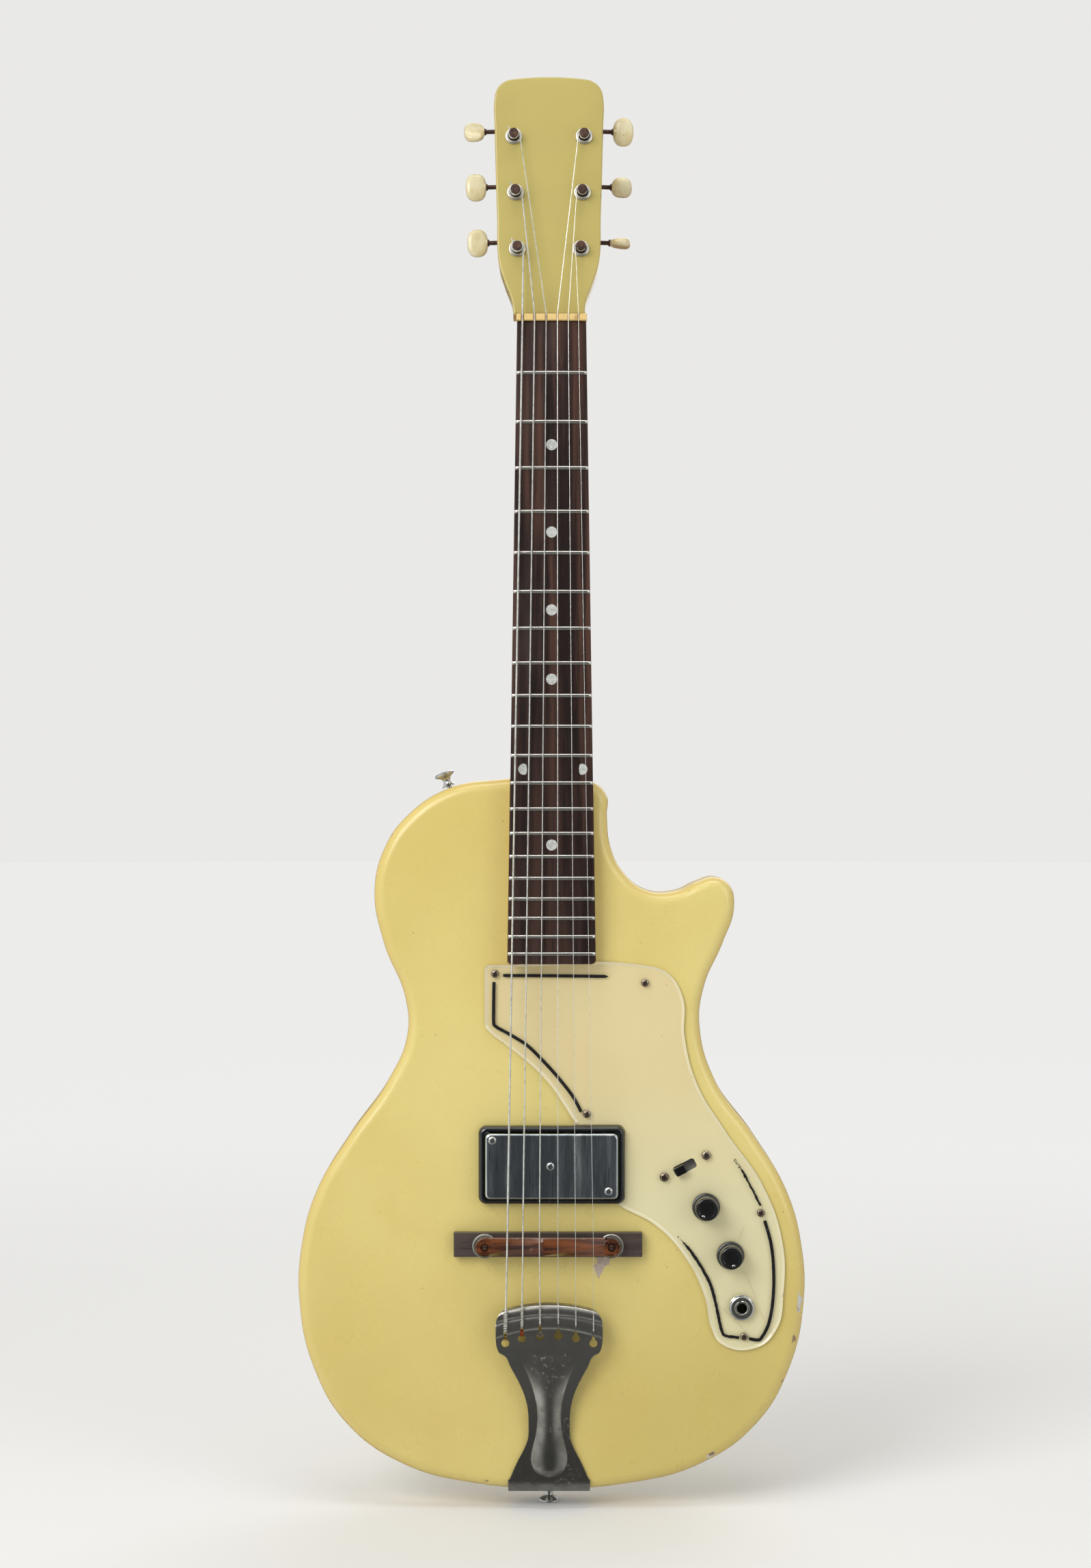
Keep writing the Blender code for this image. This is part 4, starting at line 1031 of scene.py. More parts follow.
LOWER_BOUT = [(100, -182), (124, -216), (143.5, -249), (152.8, -283), (154, -318), (145.2, -357.5)]
LOWER_BOUT += [(125, -391.5), (90, -416.3), (45, -428), (0, BODY_END)]
TREBLE_SIDE = [(24, 1.3), (33.6, -7.5), (33.8, -20), (36, -39), (43.5, -54), (58, -65.6), (76, -66)]
TREBLE_SIDE += [(89, -60.3), (99.5, -57.5), (108.3, -61.8), (111.6, -75), (104.6, -97.5), (93.2, -124)]
TREBLE_SIDE += [(90.4, -148)]
BASS_SIDE = [(-88.2, -154), (-89.4, -131), (-102.4, -98), (-108.2, -66), (-102, -39.5), (-87.4, -19.2)]
BASS_SIDE += [(-62, -2.9), (-34, 2.0)]
CONTROL_CAVITY = [(66, -239), (72, -226), (88, -219.5), (99, -228), (118, -254), (130.5, -290)]
CONTROL_CAVITY += [(129, -328), (114, -334), (103, -322), (99, -300), (88, -277), (74, -256)]
GUARD_TOP_EDGE = [(-39.2, -110.8, "corner"), (56, -110.8), (70.5, -115.6), (79.8, -130.5), (80.8, -154)]
GUARD_SIDE = [(88.4, -183), (105, -210.7), (128.5, -245), (140.3, -279), (141, -310), (136.4, -333)]
GUARD_SIDE += [(123, -344)]
GUARD_TAIL = [(103, -341), (97, -331), (93.2, -312.6), (81.5, -288.7), (64, -269.5), (44, -258.6, "corner")]
GUARD_INNER = [(0, -232.0, "corner"), (14.6, -206.6, "corner"), (-5, -178.8), (-39.2, -150.2)]
GUARD_INNER += [(-40.7, -147.6, "corner"), (-40.7, -112.3, "corner")]
PICKUP = centre("pickup_ring") - Vector((0, JOIN_Y, 0))
SWITCH_SLOT = (14.2, 6.1)
SLIDER_LENGTH = 6.8


def make_body():
    bass_bout = [(-x, y) for x, y in reversed(LOWER_BOUT[:-1])]
    outline = TREBLE_SIDE + LOWER_BOUT + bass_bout + BASS_SIDE
    body = slab(outline, BODY_BACK, 0, edge=EDGE_RADIUS, steps=14, edge_steps=6)
    heel_end = BOARD_END + SCALE_LENGTH / 2
    back = HEEL_BACK - 0.3
    rings = []
    for y, half in ((10, board_half(10 - SCALE_LENGTH / 2)), (heel_end, board_half(BOARD_END))):
        wide = half + 0.3
        rings.append([(-wide, y, 5), (wide, y, 5), (wide, y, back), (-wide, y, back)])
    cover_low, cover_high = span("pickup_cover")
    cavity = (cover_high.x - cover_low.x + 2, cover_high.y - cover_low.y + 2, 40)
    pickup = block(cavity, (0, PICKUP.y, 4))
    wire_way = block((40, 10, 20), (56, PICKUP.y - 9, -2))
    pegs = [moved(drill(1.8, -15, 2), strap_place(name)) for name in ("lower", "upper")]
    control = slab(CONTROL_CAVITY, -30, 5, steps=6)
    bolts = bolt_holes(BODY, BOLT_HOLE, 4.2)
    body = cut(body, loft(rings), pickup, control, wire_way, together(*bolts, *pegs))
    piece("painted_body", body, CREAM, BODY, stands_for=["body"])


def strap_place(name):
    """Where a strap button's seat is, with z along its screw and out of the body."""
    if name == "lower":
        seat = BODY_END - 0.35 - 1.4 - 0.3
        return at(TAIL_X, seat, BODY_BACK / 2) @ turn(90, "X")
    return at(-62.9, -2.0, BODY_BACK / 2) @ turn(22, "Z") @ turn(-90, "X")


def make_pickguard():
    outline = GUARD_TOP_EDGE + GUARD_SIDE + GUARD_TAIL + GUARD_INNER
    # A straight-sided sheet under one whose edge slopes
    width, height = 1.7, 0.85
    slope = slab(outline, -width, width, edge=width, steps=14, edge_steps=0)
    slope.transform(at(0, 0, GUARD_TOP - height) @ Matrix.Diagonal((1, 1, height / width, 1)))
    guard = fuse(slab(outline, 0.3, GUARD_TOP - height + 0.02, steps=14), slope)
    ring_low, ring_high = span("pickup_ring")
    notch = rectangle(ring_high.x - ring_low.x + 0.6, ring_high.y - ring_low.y + 0.6, 4.3)
    holes = [moved(slab(notch, -3, 5, straight=True), at(0, PICKUP.y))]
    for node, radius in (("volume_knob", 5.0), ("tone_knob", 5.0), ("jack_socket", 4.8)):
        holes.append(moved(drill(radius, -3, 5, 40), BODY.inverted() @ at(*centre(node).xy)))
    slot = slab(rectangle(*SWITCH_SLOT, 1.6, 5), -3, 6, straight=True)
    holes.append(moved(slot, switch_place()))
    guard = cut(guard, *holes)
    piece("scratch_plate", guard, GUARD, BODY, stands_for=["pickguard"], angle=18)

    screws = ((-34.4, -116), (56.8, -121.5), (21.4, -201.2), (127.2, -261.4), (117, -336.6))
    for number, (x, y) in enumerate(screws, 1):
        screw(f"guard_screw_{number}", BODY @ at(x, y, GUARD_TOP), 2.45, 1.3)
    for number, (x, y) in enumerate(((94, -226.4), (68.5, -239.6)), 1):
        screw(f"switch_screw_{number}", BODY @ at(x, y, GUARD_TOP), 2.85, 1.5)


def curved(points, steps=8):
    """A smooth line through the points."""
    made = []
    ends = [points[0], *points, points[-1]]
    for i in range(1, len(ends) - 2):
        p0, p1, p2, p3 = (Vector(ends[j]) for j in (i - 1, i, i + 1, i + 2))
        for step in range(steps):
            t = step / steps
            bend, twist = 2 * p0 - 5 * p1 + 4 * p2 - p3, 3 * p1 - p0 - 3 * p2 + p3
            made.append(0.5 * (2 * p1 + (p2 - p0) * t + bend * t**2 + twist * t**3))
    return [*made, Vector(points[-1])]


def ribbon(line, width, bottom, top, seed, ragged=(0, 0), roughness=0.0):
    """A thin printed stripe along a line. Ragged is how far each end is worn ragged, in millimetres."""
    draw = random.Random(seed)
    length = sum((b - a).length for a, b in zip(line, line[1:]))
    rings = []
    done = 0.0
    for i, point in enumerate(line):
        before, after = line[max(0, i - 1)], line[min(len(line) - 1, i + 1)]
        along = (after - before).normalized()
        out = Vector((-along.y, along.x))
        if i:
            done += (point - line[i - 1]).length
        wear = 1.0
        for gone, reach in ((done, ragged[0]), (length - done, ragged[1])):
            if reach:
                wear = min(wear, max(0.12, min(1.0, gone / reach)))
        bite = roughness * (1.3 - 0.3 * wear)
        left, right = (width / 2 * wear * (1 - bite * draw.random()) for _ in range(2))
        a, b = point + out * left, point - out * right
        rings.append([(a.x, a.y, bottom), (a.x, a.y, top), (b.x, b.y, top), (b.x, b.y, bottom)])
    return loft(rings)


def flecks(ends, count):
    """Crumbs of print around the start of a worn line. Ends are its first two points."""
    draw = random.Random(count)
    first, second = (Vector(point) for point in ends)
    along = (second - first).normalized()
    out = Vector((-along.y, along.x))
    found = []
    for _ in range(count):
        spot = first + along * draw.uniform(-2.5, 7) + out * draw.uniform(-0.9, 0.9)
        size = draw.uniform(0.12, 0.48)
        ring = []
        for i in range(7):
            x, y = polar(size * draw.uniform(0.6, 1.3), math.tau * i / 7)
            ring.append((spot.x + x, spot.y + y))
        found.append(loft([at_height(ring, z) for z in PRINT_HEIGHTS]))
    return found


def make_guard_lines():
    """The worn black lines printed just inside the pickguard's edge."""
    low, high = PRINT_HEIGHTS
    upper_left = [(-35, -121), (-35.2, -134), (-35.2, -145), (-34, -148), (-26, -152.5), (-15.5, -159)]
    upper_left += [(-7, -167), (3.5, -178.5), (12.5, -190), (18, -200)]
    lower_right = [(129.5, -266), (133.5, -281), (135, -298), (134.5, -314.5), (132, -328.5)]
    lower_right += [(127.6, -337.2), (125, -338.6), (120, -337.8)]
    lower_left = [(114, -337.2), (105.6, -336), (103.6, -333.5), (102, -327.5), (100, -317.5), (96.5, -305)]
    lower_left += [(90.5, -293.5), (84, -284), (78.5, -277.5)]
    lines = (
        ([(-29.5, -117), (2, -117.2), (34.5, -117.6)], (0, 0.5), 0.10),
        (upper_left, (0, 0), 0.08),
        ([(112.5, -230.5), (116, -236), (120, -243.5), (124, -251), (127, -257)], (9, 0), 0.6),
        (lower_right, (0, 0), 0.08),
        (lower_left, (0, 7), 0.3),
    )
    stripes = [
        ribbon(curved(points, 10), 2.05, low, high, seed, ragged, roughness)
        for seed, (points, ragged, roughness) in enumerate(lines)
    ]
    stripes += flecks(lines[2][0][:2], 16) + flecks(lines[4][0][:-3:-1], 9)
    piece("guard_lines", together(*stripes), PRINT, BODY)
    cracks = (
        [(115, -294.5), (119, -301), (122.5, -309.5), (125.5, -318.5), (130.5, -328.5), (135, -336.5)],
        [(117.5, -268), (115, -274.5), (114, -279.5)],
        [(101, -318), (105, -320), (109, -324.5), (114, -329.5), (117.5, -332.5)],
    )
    hairs = [ribbon(curved(points, 6), 0.22, low, high - 0.02, 9, (3, 3), 0.4) for points in cracks]
    piece("guard_cracks", together(*hairs), CRACK, BODY)


def make_bare_patch():
    """The paint has flaked to the primer below the bridge's treble end."""
    draw = random.Random(4)
    edge = []
    sides = [(35.4, -285), (35.4, -290.4), (35.0, -293.2), (32.4, -294.0), (31.2, -296.6), (30.0, -299.0)]
    sides += [(28.8, -301.8), (27.4, -299.6), (26.4, -296.4), (25.9, -294.4), (27.6, -291.8), (27.2, -289)]
    sides += [(27.2, -285)]
    for first, second in zip(sides, sides[1:]):
        for step in range(4):
            t = step / 4
            x, y = first[0] + (second[0] - first[0]) * t, first[1] + (second[1] - first[1]) * t
            edge.append((x + draw.uniform(-0.35, 0.35), y + draw.uniform(-0.35, 0.35)))
    piece("bare_patch", slab(edge, -0.1, 0.03, steps=4), BARE_PATCH, BODY)


# ---------------------------------------------------------------- pickup


def make_pickup():
    ring_low, ring_high = span("pickup_ring")
    cover_low, cover_high = span("pickup_cover")
    place = BODY @ at(0, PICKUP.y)
    width, height = ring_high.x - ring_low.x, ring_high.y - ring_low.y
    inner = (cover_high.x - cover_low.x + 0.6, cover_high.y - cover_low.y + 0.6)
    steps = []
    shape = [(0.0, ring_low.z), (0.0, 4.2), (0.35, 5.4), (1.1, 6.3), (2.0, ring_high.z), (2.9, ring_high.z)]
    shape += [(3.3, 6.3), (3.4, 5.9), (3.75, 5.7)]
    for inset, z in shape:
        outline = rectangle(width - 2 * inset, height - 2 * inset, 4.6 - 0.55 * inset)
        steps.append(at_height(outline, z))
    for z in (5.5, ring_low.z):
        steps.append(at_height(rectangle(*inner, 2.7), z))
    mesh = loft(steps, closed=True)
    piece("pickup_frame", mesh, RING_BLACK, place, stands_for=["pickup_ring"])

    size = (cover_high.x - cover_low.x, cover_high.y - cover_low.y)
    top = cover_high.z
    shell = []
    shape = ((0, -6.0 - top), (0, -1.6), (0.2, -0.85), (0.65, -0.25), (1.3, 0.0), (2.2, -0.02))
    for inset, fall in shape:
        outline = rectangle(size[0] - 2 * inset, size[1] - 2 * inset, 2.9 - 0.3 * inset)
        shell.append(at_height(outline, top + fall))
    hollow = block((size[0] - 2, size[1] - 2, 30), (0, 0, top - 16), bevel=0.4)
    cover = cut(loft(shell), hollow)
    piece("pickup_case", cover, COVER_CHROME, place, stands_for=["pickup_cover"])
    for number, (x, y) in enumerate(((-35.9, -216.2), (-0.8, -231.9), (34.4, -247.0)), 1):
        screw(f"cover_screw_{number}", BODY @ at(x, y, top), 2.5, 1.2, CHROME)


# ---------------------------------------------------------------- controls


def make_knob(name, dot_degrees):
    """A knurled skirt under a glossy cap with a hollowed top, and its pointer dot."""
    body = f"{name}_knob"
    low, high = span(body)
    place = at(*centre(body).xy)
    base = GUARD_TOP + 0.4
    top = high.z
    profile = [(3.0, low.z), (3.0, base), (8.3, base), (8.5, base + 0.25), (8.5, base + 2.5)]
    profile += [(8.2, base + 3.1), (7.5, base + 3.5), (7.3, base + 4.0), (7.12, top - 2.0)]
    profile += [(6.98, top - 1.0), (6.6, top - 0.35), (6.1, top - 0.05), (5.6, top), (5.2, top - 0.12)]
    profile += [(4.4, top - 0.42), (2.5, top - 0.62), (0.05, top - 0.68)]

    def knurl(angle, place_in_profile):
        return 0.13 * math.cos(60 * angle) if place_in_profile in (3, 4, 5) else 0.0

    mesh = revolved(profile, 360, wave=knurl)
    piece(f"{name}_cap", mesh, BLACK, place, body, [body])
    dot = [(1.0, top - 0.9), (1.0, top - 0.28), (0.8, top - 0.12), (0.4, top - 0.05), (0.02, top - 0.03)]
    spot = place @ at(*polar(5.0, math.radians(dot_degrees)))
    piece(f"{name}_pointer", revolved(dot, 24), CHROME, spot, body)


def switch_place():
    """The slide switch's frame, from the middle of its housing."""
    return BODY.inverted() @ at(*centre("switch_housing").xy) @ turn(27.4, "Z")


def make_switch():
    place = BODY @ switch_place()
    start = -SWITCH_SLOT[0] / 2 + SLIDER_LENGTH / 2 + 0.5
    low, high = span("switch_slider")
    middle = (start, 0, (high.z + low.z) / 2)
    slider = block((SLIDER_LENGTH, 5.3, high.z - low.z), middle, bevel=0.45, segments=3)
    grooves = [block((0.55, 8, 1.3), (start + 1.1 * (i - 2), 0, high.z)) for i in range(5)]
    mesh = cut(slider, together(*grooves))
    piece("switch_button", mesh, BLACK, place, "switch_slider", ["switch_slider"])


def make_jack():
    place = at(*centre("jack_socket").xy)
    nut_low, nut_high = span("jack_nut")
    top = span("jack_socket")[1].z
    profile = [(3.3, top - 0.2), (3.55, top), (4.2, top), (4.5, top - 0.3)]
    for thread in range(3):
        z = top - 0.55 - 0.5 * thread
        profile += [(4.25, z), (4.5, z - 0.25)]
    profile += [(4.5, -0.3), (6.5, -0.3), (6.5, -24), (3.3, -24)]
    socket = revolved(profile, 64, ring=True)
    piece("jack_sleeve", socket, CHROME, place, stands_for=["jack_socket"])
    low, high = nut_low.z, nut_high.z
    rim = [(4.7, low + 0.5), (7.3, low + 0.5), (7.7, low + 0.25), (7.7, low), (4.7, low)]
    washer = revolved(rim, 64, ring=True)
    corners = [polar(8.1, math.radians(60 * i)) for i in range(6)]
    prism = slab(corners, low + 0.55, high, straight=True)
    dome = [(7.75, low), (7.75, low + 1.2), (7.3, high - 0.55), (6.6, high - 0.1), (6.3, high + 0.02)]
    nut = combined(prism, "INTERSECT", revolved(dome, 64))
    nut = cut(nut, revolved([(5.3, high + 1), (4.7, high - 0.4), (4.7, low - 1)], 48))
    piece("jack_hex_nut", together(washer, nut), CHROME, place, stands_for=["jack_nut"])


# ---------------------------------------------------------------- bridge


def make_bridge():
    low, high = span("bridge_base")
    place = at(*((low + high) / 2).xy)
    posts = {name: centre(f"bridge_post_{name}").x - (low.x + high.x) / 2 for name in ("bass", "treble")}
    holes = [moved(drill(2.4, 1.2, 30, 32), at(x, 0)) for x in posts.values()]
    base = block(high - low, (0, 0, (high.z + low.z) / 2), bevel=0.5, segments=3)
    base = cut(base, together(*holes))
    piece("bridge_foot", base, BASE_WOOD, place, stands_for=["bridge_base"])

    bottom, top = span("bridge_saddle")[0].z, span("bridge_saddle")[1].z
    reach = posts["treble"]
    outline = rectangle(2 * reach + 11.2, 11.2, 5.58, 10)
    plank = slab(outline, bottom, bottom + 1.3, edge=0.25, straight=True, edge_steps=2)
    bosses = []
    for x in posts.values():
        profile = [(5.6, bottom + 0.1), (5.6, top - 0.9), (5.35, top - 0.45), (4.9, top - 0.25)]
        profile.append((0.1, top - 0.2))
        bosses.append(moved(revolved(profile, 48), at(x, 0)))
    ridges = []
    # Where each crest starts and ends, as x and y, and how high it is
    crests = (((-36, -3.8), (-2.9, 2.9), 16.65), ((-2.9, -4.5), (34.5, 1.2), 17.0))
    for (x0, crest0), (x1, crest1), peak in crests:
        rings = []
        for step in range(9):
            t = step / 8
            x, crest = x0 + (x1 - x0) * t, crest0 + (crest1 - crest0) * t
            ring = [(5.55, bottom + 0.2), (5.55, top - 2.1), (5.1, top - 1.6), (crest + 0.6, peak - 0.08)]
            ring += [(crest, peak), (crest - 0.35, peak - 0.25)]
            ring += [(-5.5, bottom + 1.25), (-5.5, bottom + 0.2)]
            rings.append([(x, y, z) for y, z in ring])
        ridges.append(loft(rings))
    saddle = cut(fuse(plank, *bosses, *ridges), *holes)
    piece("saddle", saddle, SADDLE_WOOD, place, "bridge_saddle", ["bridge_saddle"], angle=24)

    for name in posts:
        post_low, post_high = span(f"bridge_post_{name}")
        spot = at(*centre(f"bridge_post_{name}").xy)
        profile = [(1.5, post_low.z), (2.0, post_low.z + 0.4)]
        z = post_low.z + 0.6
        while z < post_high.z - 0.8:
            profile += [(1.75, z), (2.08, z + 0.3)]
            z += 0.6
        profile += [(1.9, post_high.z - 0.2), (1.6, post_high.z), (0.1, post_high.z)]
        mesh = cut(revolved(profile, 32), block((6, 0.6, 1.2), (0, 0, post_high.z)))
        node = f"bridge_post_{name}"
        piece(f"threaded_post_{name}", mesh, BROWN_STEEL, spot, stands_for=[node])
        wheel = f"bridge_wheel_{name}"
        bottom, top = (corner.z for corner in span(wheel))
        rim = [(2.3, top), (6.9, top), (7.3, top - 0.35)]
        rim += [(7.3, bottom + 0.35), (6.9, bottom), (2.3, bottom)]

        def knurl(angle, place_in_profile):
            return 0.2 * math.cos(48 * angle) if place_in_profile in (2, 3) else 0.0

        mesh = revolved(rim, 288, ring=True, wave=knurl)
        piece(f"thumbwheel_{name}", mesh, STEEL, spot, wheel, [wheel])


# ---------------------------------------------------------------- tailpiece and back

KEYHOLE_XS = {1: 25.3, 2: 14.6, 3: 4.0, 4: -7.0, 5: -18.0, 6: -28.0}
# y, half width, height and bow of the sheet's cross lines. The head has a rolled edge, a groove and a step.
TAIL_ROWS = [
    (-318.8, 26.3, 8.9, 3.8),
    (-319.5, 27.6, 10.4, 3.8),
    (-320.3, 28.8, 11.5, 3.9),
    (-321.6, 30.2, 12.2, 4.0),
    (-323.4, 31.4, 12.45, 4.3),
    (-325.2, 32.0, 12.3, 4.6),
    (-326.4, 32.2, 11.8, 4.8),
    (-327.6, 32.3, 11.85, 5.1),
    (-329.2, 32.4, 12.15, 5.4),
    (-332.0, 32.4, 12.2, 5.8),
    (-334.8, 32.4, 12.0, 6.0),
    (-336.2, 32.4, 11.3, 6.0),
    (-338.5, 32.2, 11.1, 5.7),
    (-341, 31.8, 11.0, 5.0),
    (-344.5, 30.4, 10.8, 3.0),
    (-346.3, 27.4, 10.5, 1.2),
    (-348.5, 25.4, 10.2, 0.6),
    (-353.5, 23.3, 9.6, 0.0),
    (-362, 18.8, 8.4, 0.0),
    (-371, 15.0, 7.0, 0.0),
    (-380, 13.0, 5.6, 0.0),
    (-389, 12.5, 4.2, 0.0),
    (-398, 12.8, 2.9, 0.0),
    (-405, 15.2, 2.0, 0.0),
    (-412, 18.8, 1.4, 0.0),
    (-418, 21.6, 1.2, 0.0),
    (-421.4, 23.0, 1.1, 0.0),
    (-423.7, 24.2, 1.05, 0.0),
]
TAIL_FOOT_HALF = 24.9
TAIL_THICKNESS = 1.2


def rib_height(x, y):
    """The pressed rib: a round bulb at the foot that narrows and opens towards the head."""
    if y > -346 or y < -422:
        return 0.0
    half = 6.8 + 4.0 * math.exp(-(((y + 411) / 13) ** 2)) + 12.5 * max(0.0, (y + 385) / 39) ** 1.9
    if y < -411:
        half = 10.8 * math.sqrt(max(0.0, 1 - ((y + 411) / 11) ** 2)) + 0.01
    fade = min(1.0, (-346 - y) / 26) * min(1.0, ((y + 422.5) / 5) ** 0.7)
    return 3.8 * fade * max(0.0, 1 - (x / half) ** 2) ** 0.95


def keyhole_y(x):
    """The keyholes lie on an arc."""
    return -334.2 - 5.2 * (x / 28) ** 2


def make_tailpiece():
    shares = [i / 40 for i in range(-40, 41)]
    rows = []
    for y, half, z, bow in curved(TAIL_ROWS, 6):
        line = []
        for share in shares:
            place = y + bow * (1 - share * share)
            line.append((share * half, place, z + rib_height(share * half, place)))
        rows.append(line)
    rim_y = BODY_END + EDGE_RADIUS
    reach = EDGE_RADIUS + 0.35 + 0.7
    for degrees in range(90, -1, -10):
        angle = math.radians(degrees)
        y, z = rim_y - reach * math.cos(angle), -EDGE_RADIUS + reach * math.sin(angle)
        rows.append([(share * TAIL_FOOT_HALF, y, z) for share in shares])
    leg = ((-12, 24.9), (-18, 24.6), (-22, 24.0), (-25, 22.8), (-27, 21.0), (-28.3, 18.0), (-29, 14.0))
    for z, half in leg:
        rows.append([(share * half, rim_y - reach, z) for share in shares])

    def build(work):
        grid = [[work.verts.new(point) for point in row] for row in rows]
        for first, second in zip(grid, grid[1:]):
            for i in range(len(first) - 1):
                work.faces.new((first[i], first[i + 1], second[i + 1], second[i]))

    sheet = new_object("sheet", filled(build))
    shell = sheet.modifiers.new("thickness", "SOLIDIFY")
    shell.thickness = TAIL_THICKNESS
    shell.offset = 0
    rim = sheet.modifiers.new("rim", "BEVEL")
    rim.width = 0.3
    rim.segments = 2
    rim.angle_limit = math.radians(60)
    cuts = []
    for x in KEYHOLE_XS.values():
        spot = at(x - TAIL_X, keyhole_y(x - TAIL_X))
        key = fuse(drill(2.4, 6, 18, 28), block((1.9, 7, 12), (0, 3.5, 12)))
        cuts.append(moved(key, spot))
    cuts.append(moved(drill(1.5, -15, 15, 24), at(0, BODY_END, BODY_BACK / 2) @ turn(90, "X")))
    mesh = cut(applied(sheet), together(*cuts))
    place = BODY @ at(TAIL_X, 0)
    piece("tail_plate", mesh, NICKEL, place, stands_for=["tailpiece"], angle=40)


def make_string_ends():
    """The ball at each string's end and the twist that holds it, over the tailpiece's keyholes."""
    looks = {6: BRASS, 5: RED_BRASS}
    ball_shifts = {6: 3.3, 5: 3.0, 4: 0.9}
    for number, x in KEYHOLE_XS.items():
        radius = STRING_RADII[number]
        hook = keyhole_y(x - TAIL_X) + 7 - radius - 0.3
        points = [(a, b - JOIN_Y, c) for a, b, c in string_points(number)]
        saddle = [point for point in points if -290 < point[1] < -278]
        crest = Vector([sum(part) for part in zip(*saddle)]) / len(saddle)
        low = Vector((x, hook + 1.2, 13.8))
        along = (crest - low).normalized()
        place = BODY @ at(*low) @ along.to_track_quat("Z", "Y").to_matrix().to_4x4()
        turns = 5.0 if number > 3 else 8.0
        length = 11.0 + number * 0.5
        thin = max(0.12, radius * 0.62)
        first = helix(radius + thin * 0.8, 0.2, length, turns, 0, 14)
        second = helix(radius + thin * 0.8, 0.2, length * 0.86, turns * 0.86, 180, 14)
        mesh = together(tube(first, thin, 6), tube(second, thin, 6))
        look = WOUND_STRING if number > 3 else PLAIN_STRING
        piece(f"string_twist_{number}", mesh, look, place)
        profile = [(0.7, -1.6), (1.75, -1.6), (1.95, -1.3), (1.95, 1.3), (1.75, 1.6), (0.7, 1.6)]
        ball = revolved(profile, 28, ring=True)
        spot = BODY @ at(x, keyhole_y(x - TAIL_X) + ball_shifts.get(number, 5.4), 9.2)
        if number != 4:
            spot = spot @ turn(90, "Y")
        piece(f"string_ball_{number}", ball, looks.get(number, STEEL), spot)


def make_neck_plate():
    low, high = span("neck_plate")
    size = (high.x - low.x, high.y - low.y)
    place = at(*((low + high) / 2).xy)
    plate = slab(rectangle(*size, 2.6), low.z, high.z, edge=0.45, straight=True, edge_steps=3)
    plate = cut(plate, together(*bolt_holes(place, 2.6, 0, 28)))
    piece("heel_plate", plate, CHROME, place, stands_for=["neck_plate"])
    for number in range(1, 5):
        node = f"neck_bolt_{number}"
        bolt_low, bolt_high = span(node)
        seat = at(*centre(node).xy, low.z - 0.3) @ turn(180, "X")
        height = (low.z - 0.3) - bolt_low.z
        deep = low.z - 0.3 - bolt_high.z
        shank = [(2.2, 0.3), (2.2, deep + 3.0), (1.5, deep + 0.8), (0.1, deep)]
        mesh = fuse(screw_head(4.6, height, 0.0), revolved(shank, 24))
        seat = seat @ turn(37 * number, "Z")
        piece(f"heel_bolt_{number}", mesh, SCREW, seat, stands_for=[node])


def make_strap_buttons():
    profile = [(4.4, 0.0), (4.4, 0.5), (3.4, 1.3), (2.7, 2.5), (2.4, 3.6), (2.6, 4.9), (3.3, 5.8)]
    profile += [(4.8, 6.6), (5.9, 7.2), (6.2, 7.75), (6.15, 8.3), (5.6, 8.8), (4.6, 9.1), (3.2, 9.2)]
    profile += [(2.9, 9.0), (2.7, 8.5), (1.5, 8.3), (1.5, -13), (0.1, -14)]
    for name in ("lower", "upper"):
        node = next(found for found in frame["nodes"] if "strap_button" in found and name in found)
        place = BODY @ strap_place(name)
        piece(f"strap_{name}", revolved(profile, 48), CHROME, place, stands_for=[node])
        screw(f"strap_screw_{name}", place @ at(0, 0, 8.5), 2.6, 1.0)


# ---------------------------------------------------------------- the whole guitar

make_neck()
make_fingerboard()
make_frets()
make_dots()
make_nut()
make_tuners()
make_body()
make_pickguard()
make_guard_lines()
make_bare_patch()
make_pickup()
make_knob("volume", 243)
make_knob("tone", 285)
make_switch()
make_jack()
make_bridge()
make_tailpiece()
make_string_ends()
make_neck_plate()
make_strap_buttons()

KEPT = {
    "neck_reinforcement_bar": STEEL,
    "pickup_coil": COPPER,
    "pickup_magnet": MAGNET,
    "pickup_base_plate": BROWN_STEEL,
    "tone_capacitor": RED_BRASS,
    "switch_housing": STEEL,
}
for number in range(1, 7):
    KEPT[f"string_{number}"] = WOUND_STRING if number > 3 else PLAIN_STRING
for node, obj in frame["nodes"].items():
    look = KEPT.get(node, STEEL if "potentiometer" in node else None)
    if look:
        for slot in obj.material_slots:
            slot.material = look

# ---------------------------------------------------------------- room, light and camera

PALE = (0.82, 0.815, 0.80)


def make_floor():
    """A pale floor that fades into the pale background, so that no horizon shows."""
    look = Look("pale_floor", 0.9, specular=0.2)
    reach = look.node("VectorMath", operation="LENGTH")
    look.feed(reach.inputs[0], Field(look, look.coords["Object"]))
    faded = look.ease(Field(look, reach.outputs["Value"]), 0.25, 1.9)
    look.colour(look.mix(faded, PALE, (0.0, 0.0, 0.0)))
    look.feed(look.shader.inputs["Emission Color"], PALE)
    look.feed(look.shader.inputs["Emission Strength"], faded)

    def build(work):
        bmesh.ops.create_circle(work, cap_ends=True, radius=14, segments=96)

    ground = new_object("floor", filled(build))
    ground.data.materials.append(look.material)
    ground.location.z = cad_box[0][2]
    ground.visible_glossy = False


def area_light(name, place, aim, size, power):
    data = bpy.data.lights.new(name, "AREA")
    data.shape = "RECTANGLE"
    data.size, data.size_y = size
    data.energy = power
    lamp = new_object(name, data)
    lamp.location = place
    lamp.rotation_euler = (Vector(aim) - Vector(place)).to_track_quat("-Z", "Y").to_euler()


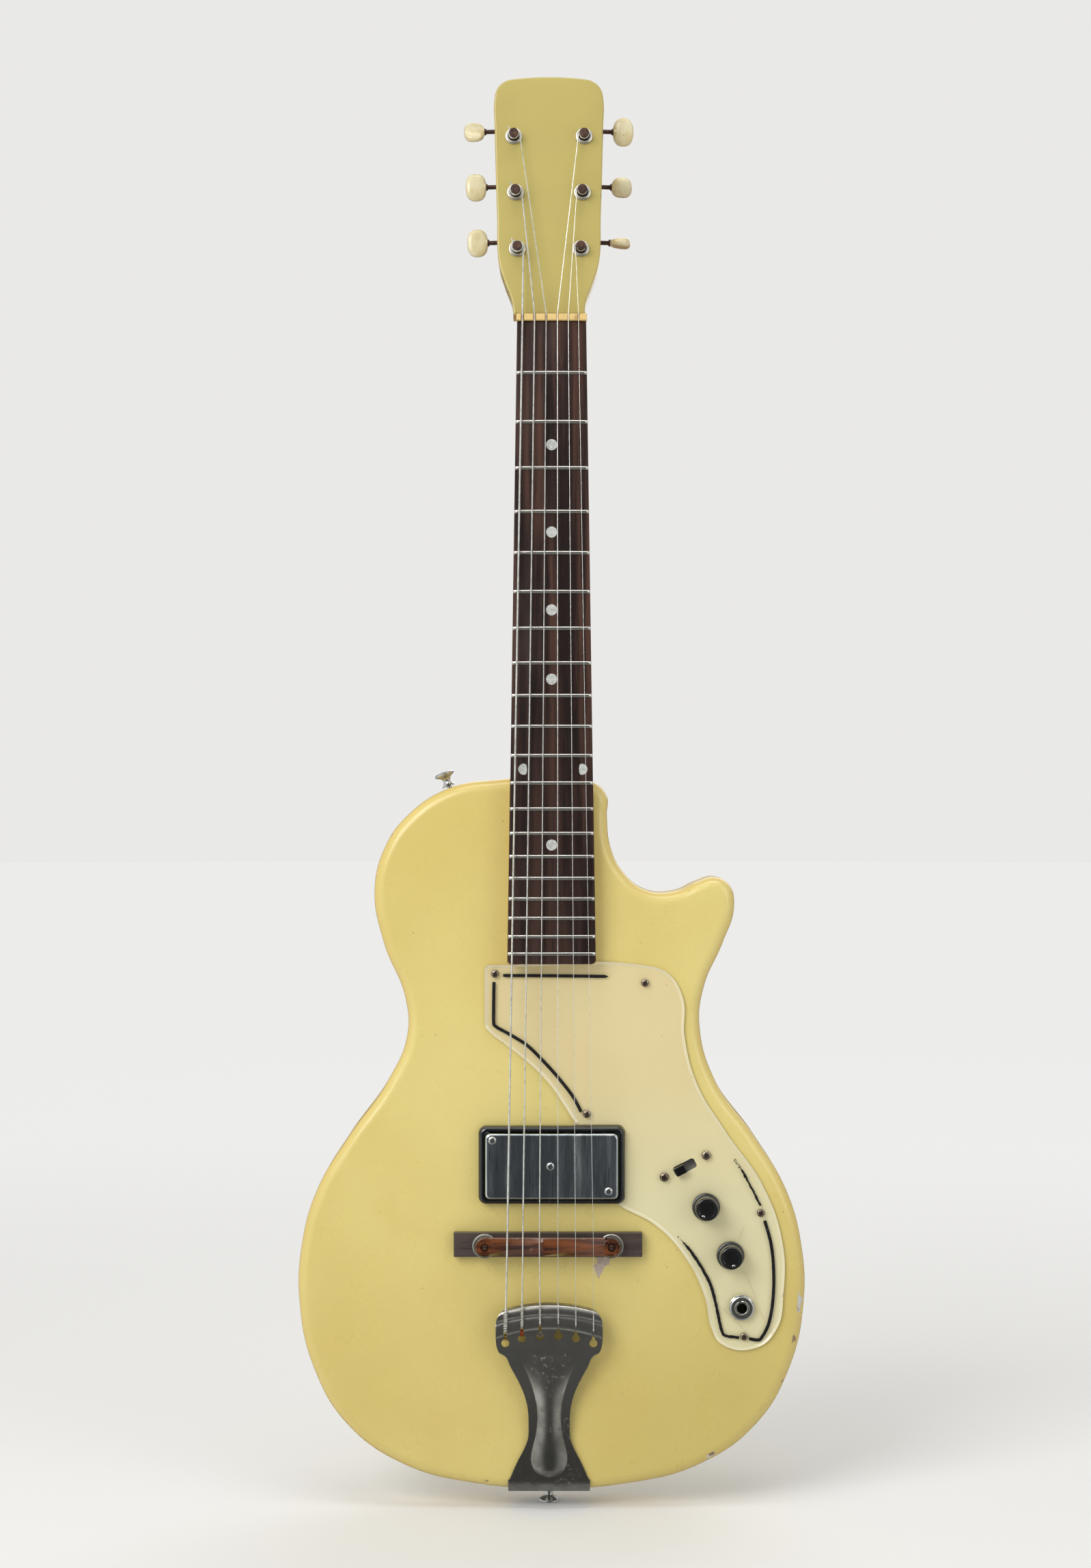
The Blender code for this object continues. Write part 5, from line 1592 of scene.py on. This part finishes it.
def make_world():
    """Pale all round, but dim in reflections, so that metal has contrast."""
    world = bpy.data.worlds.new("world")
    world.use_nodes = True
    bpy.context.scene.world = world
    sky = Nodes(world.node_tree)
    pale = sky.tree.nodes["Background"]
    seen, mirrored = sky.node("Background"), sky.node("Background")
    shades = ((pale, PALE, 0.55), (seen, PALE, 1.0), (mirrored, (0.97, 1.0, 1.0), 1.0))
    for shader, colour, strength in shades:
        shader.inputs["Color"].default_value = (*colour, 1)
        shader.inputs["Strength"].default_value = strength
    way = sky.node("TexCoord").outputs["Generated"]
    parts = sky.node("SeparateXYZ")
    sky.feed(parts.inputs[0], Field(sky, way))
    total = 0.09
    # How much brighter a reflection gets towards the top, the floor, the left and the right
    ramps = (("Z", 0.2, 0.85, 0.6), ("Z", -0.45, -0.95, 0.3), ("X", -0.3, -0.85, 0.8), ("X", 0.35, 0.9, 0.55))
    for letter, low, high, amount in ramps:
        total = sky.ease(Field(sky, parts.outputs[letter]), low, high, 0.0, amount) + total
    sky.feed(mirrored.inputs["Strength"], total)
    rays = sky.node("LightPath").outputs
    first, second = sky.node("MixShader"), sky.node("MixShader")
    mixes = ((first, "Is Camera Ray", pale, seen), (second, "Is Glossy Ray", first, mirrored))
    for mixer, ray, shader, other in mixes:
        for socket, source in zip(mixer.inputs, (rays[ray], shader.outputs[0], other.outputs[0])):
            sky.feed(socket, Field(sky, source))
    sky.feed(sky.tree.nodes["World Output"].inputs["Surface"], Field(sky, second.outputs[0]))


MIDDLE = (0.0, 0.0, -0.30)
area_light("key", (-1.4, -1.9, 0.95), MIDDLE, (1.5, 1.5), 42)
area_light("fill", (1.9, -1.8, 0.3), MIDDLE, (1.2, 1.6), 9)
area_light("top", (0.0, -0.6, 2.0), MIDDLE, (1.8, 0.8), 14)
area_light("back", (0.9, 2.6, 1.2), MIDDLE, (3.2, 2.4), 34)
make_floor()
make_world()

lens = bpy.data.cameras.new("camera")
lens.lens = 62.7
lens.sensor_width = 36
camera = new_object("camera", lens)
camera.location = (-0.0037, -1.663, -0.296)
camera.rotation_euler = (math.radians(90), 0, 0)
bpy.context.scene.camera = camera
bpy.context.scene.view_settings.view_transform = "Standard"
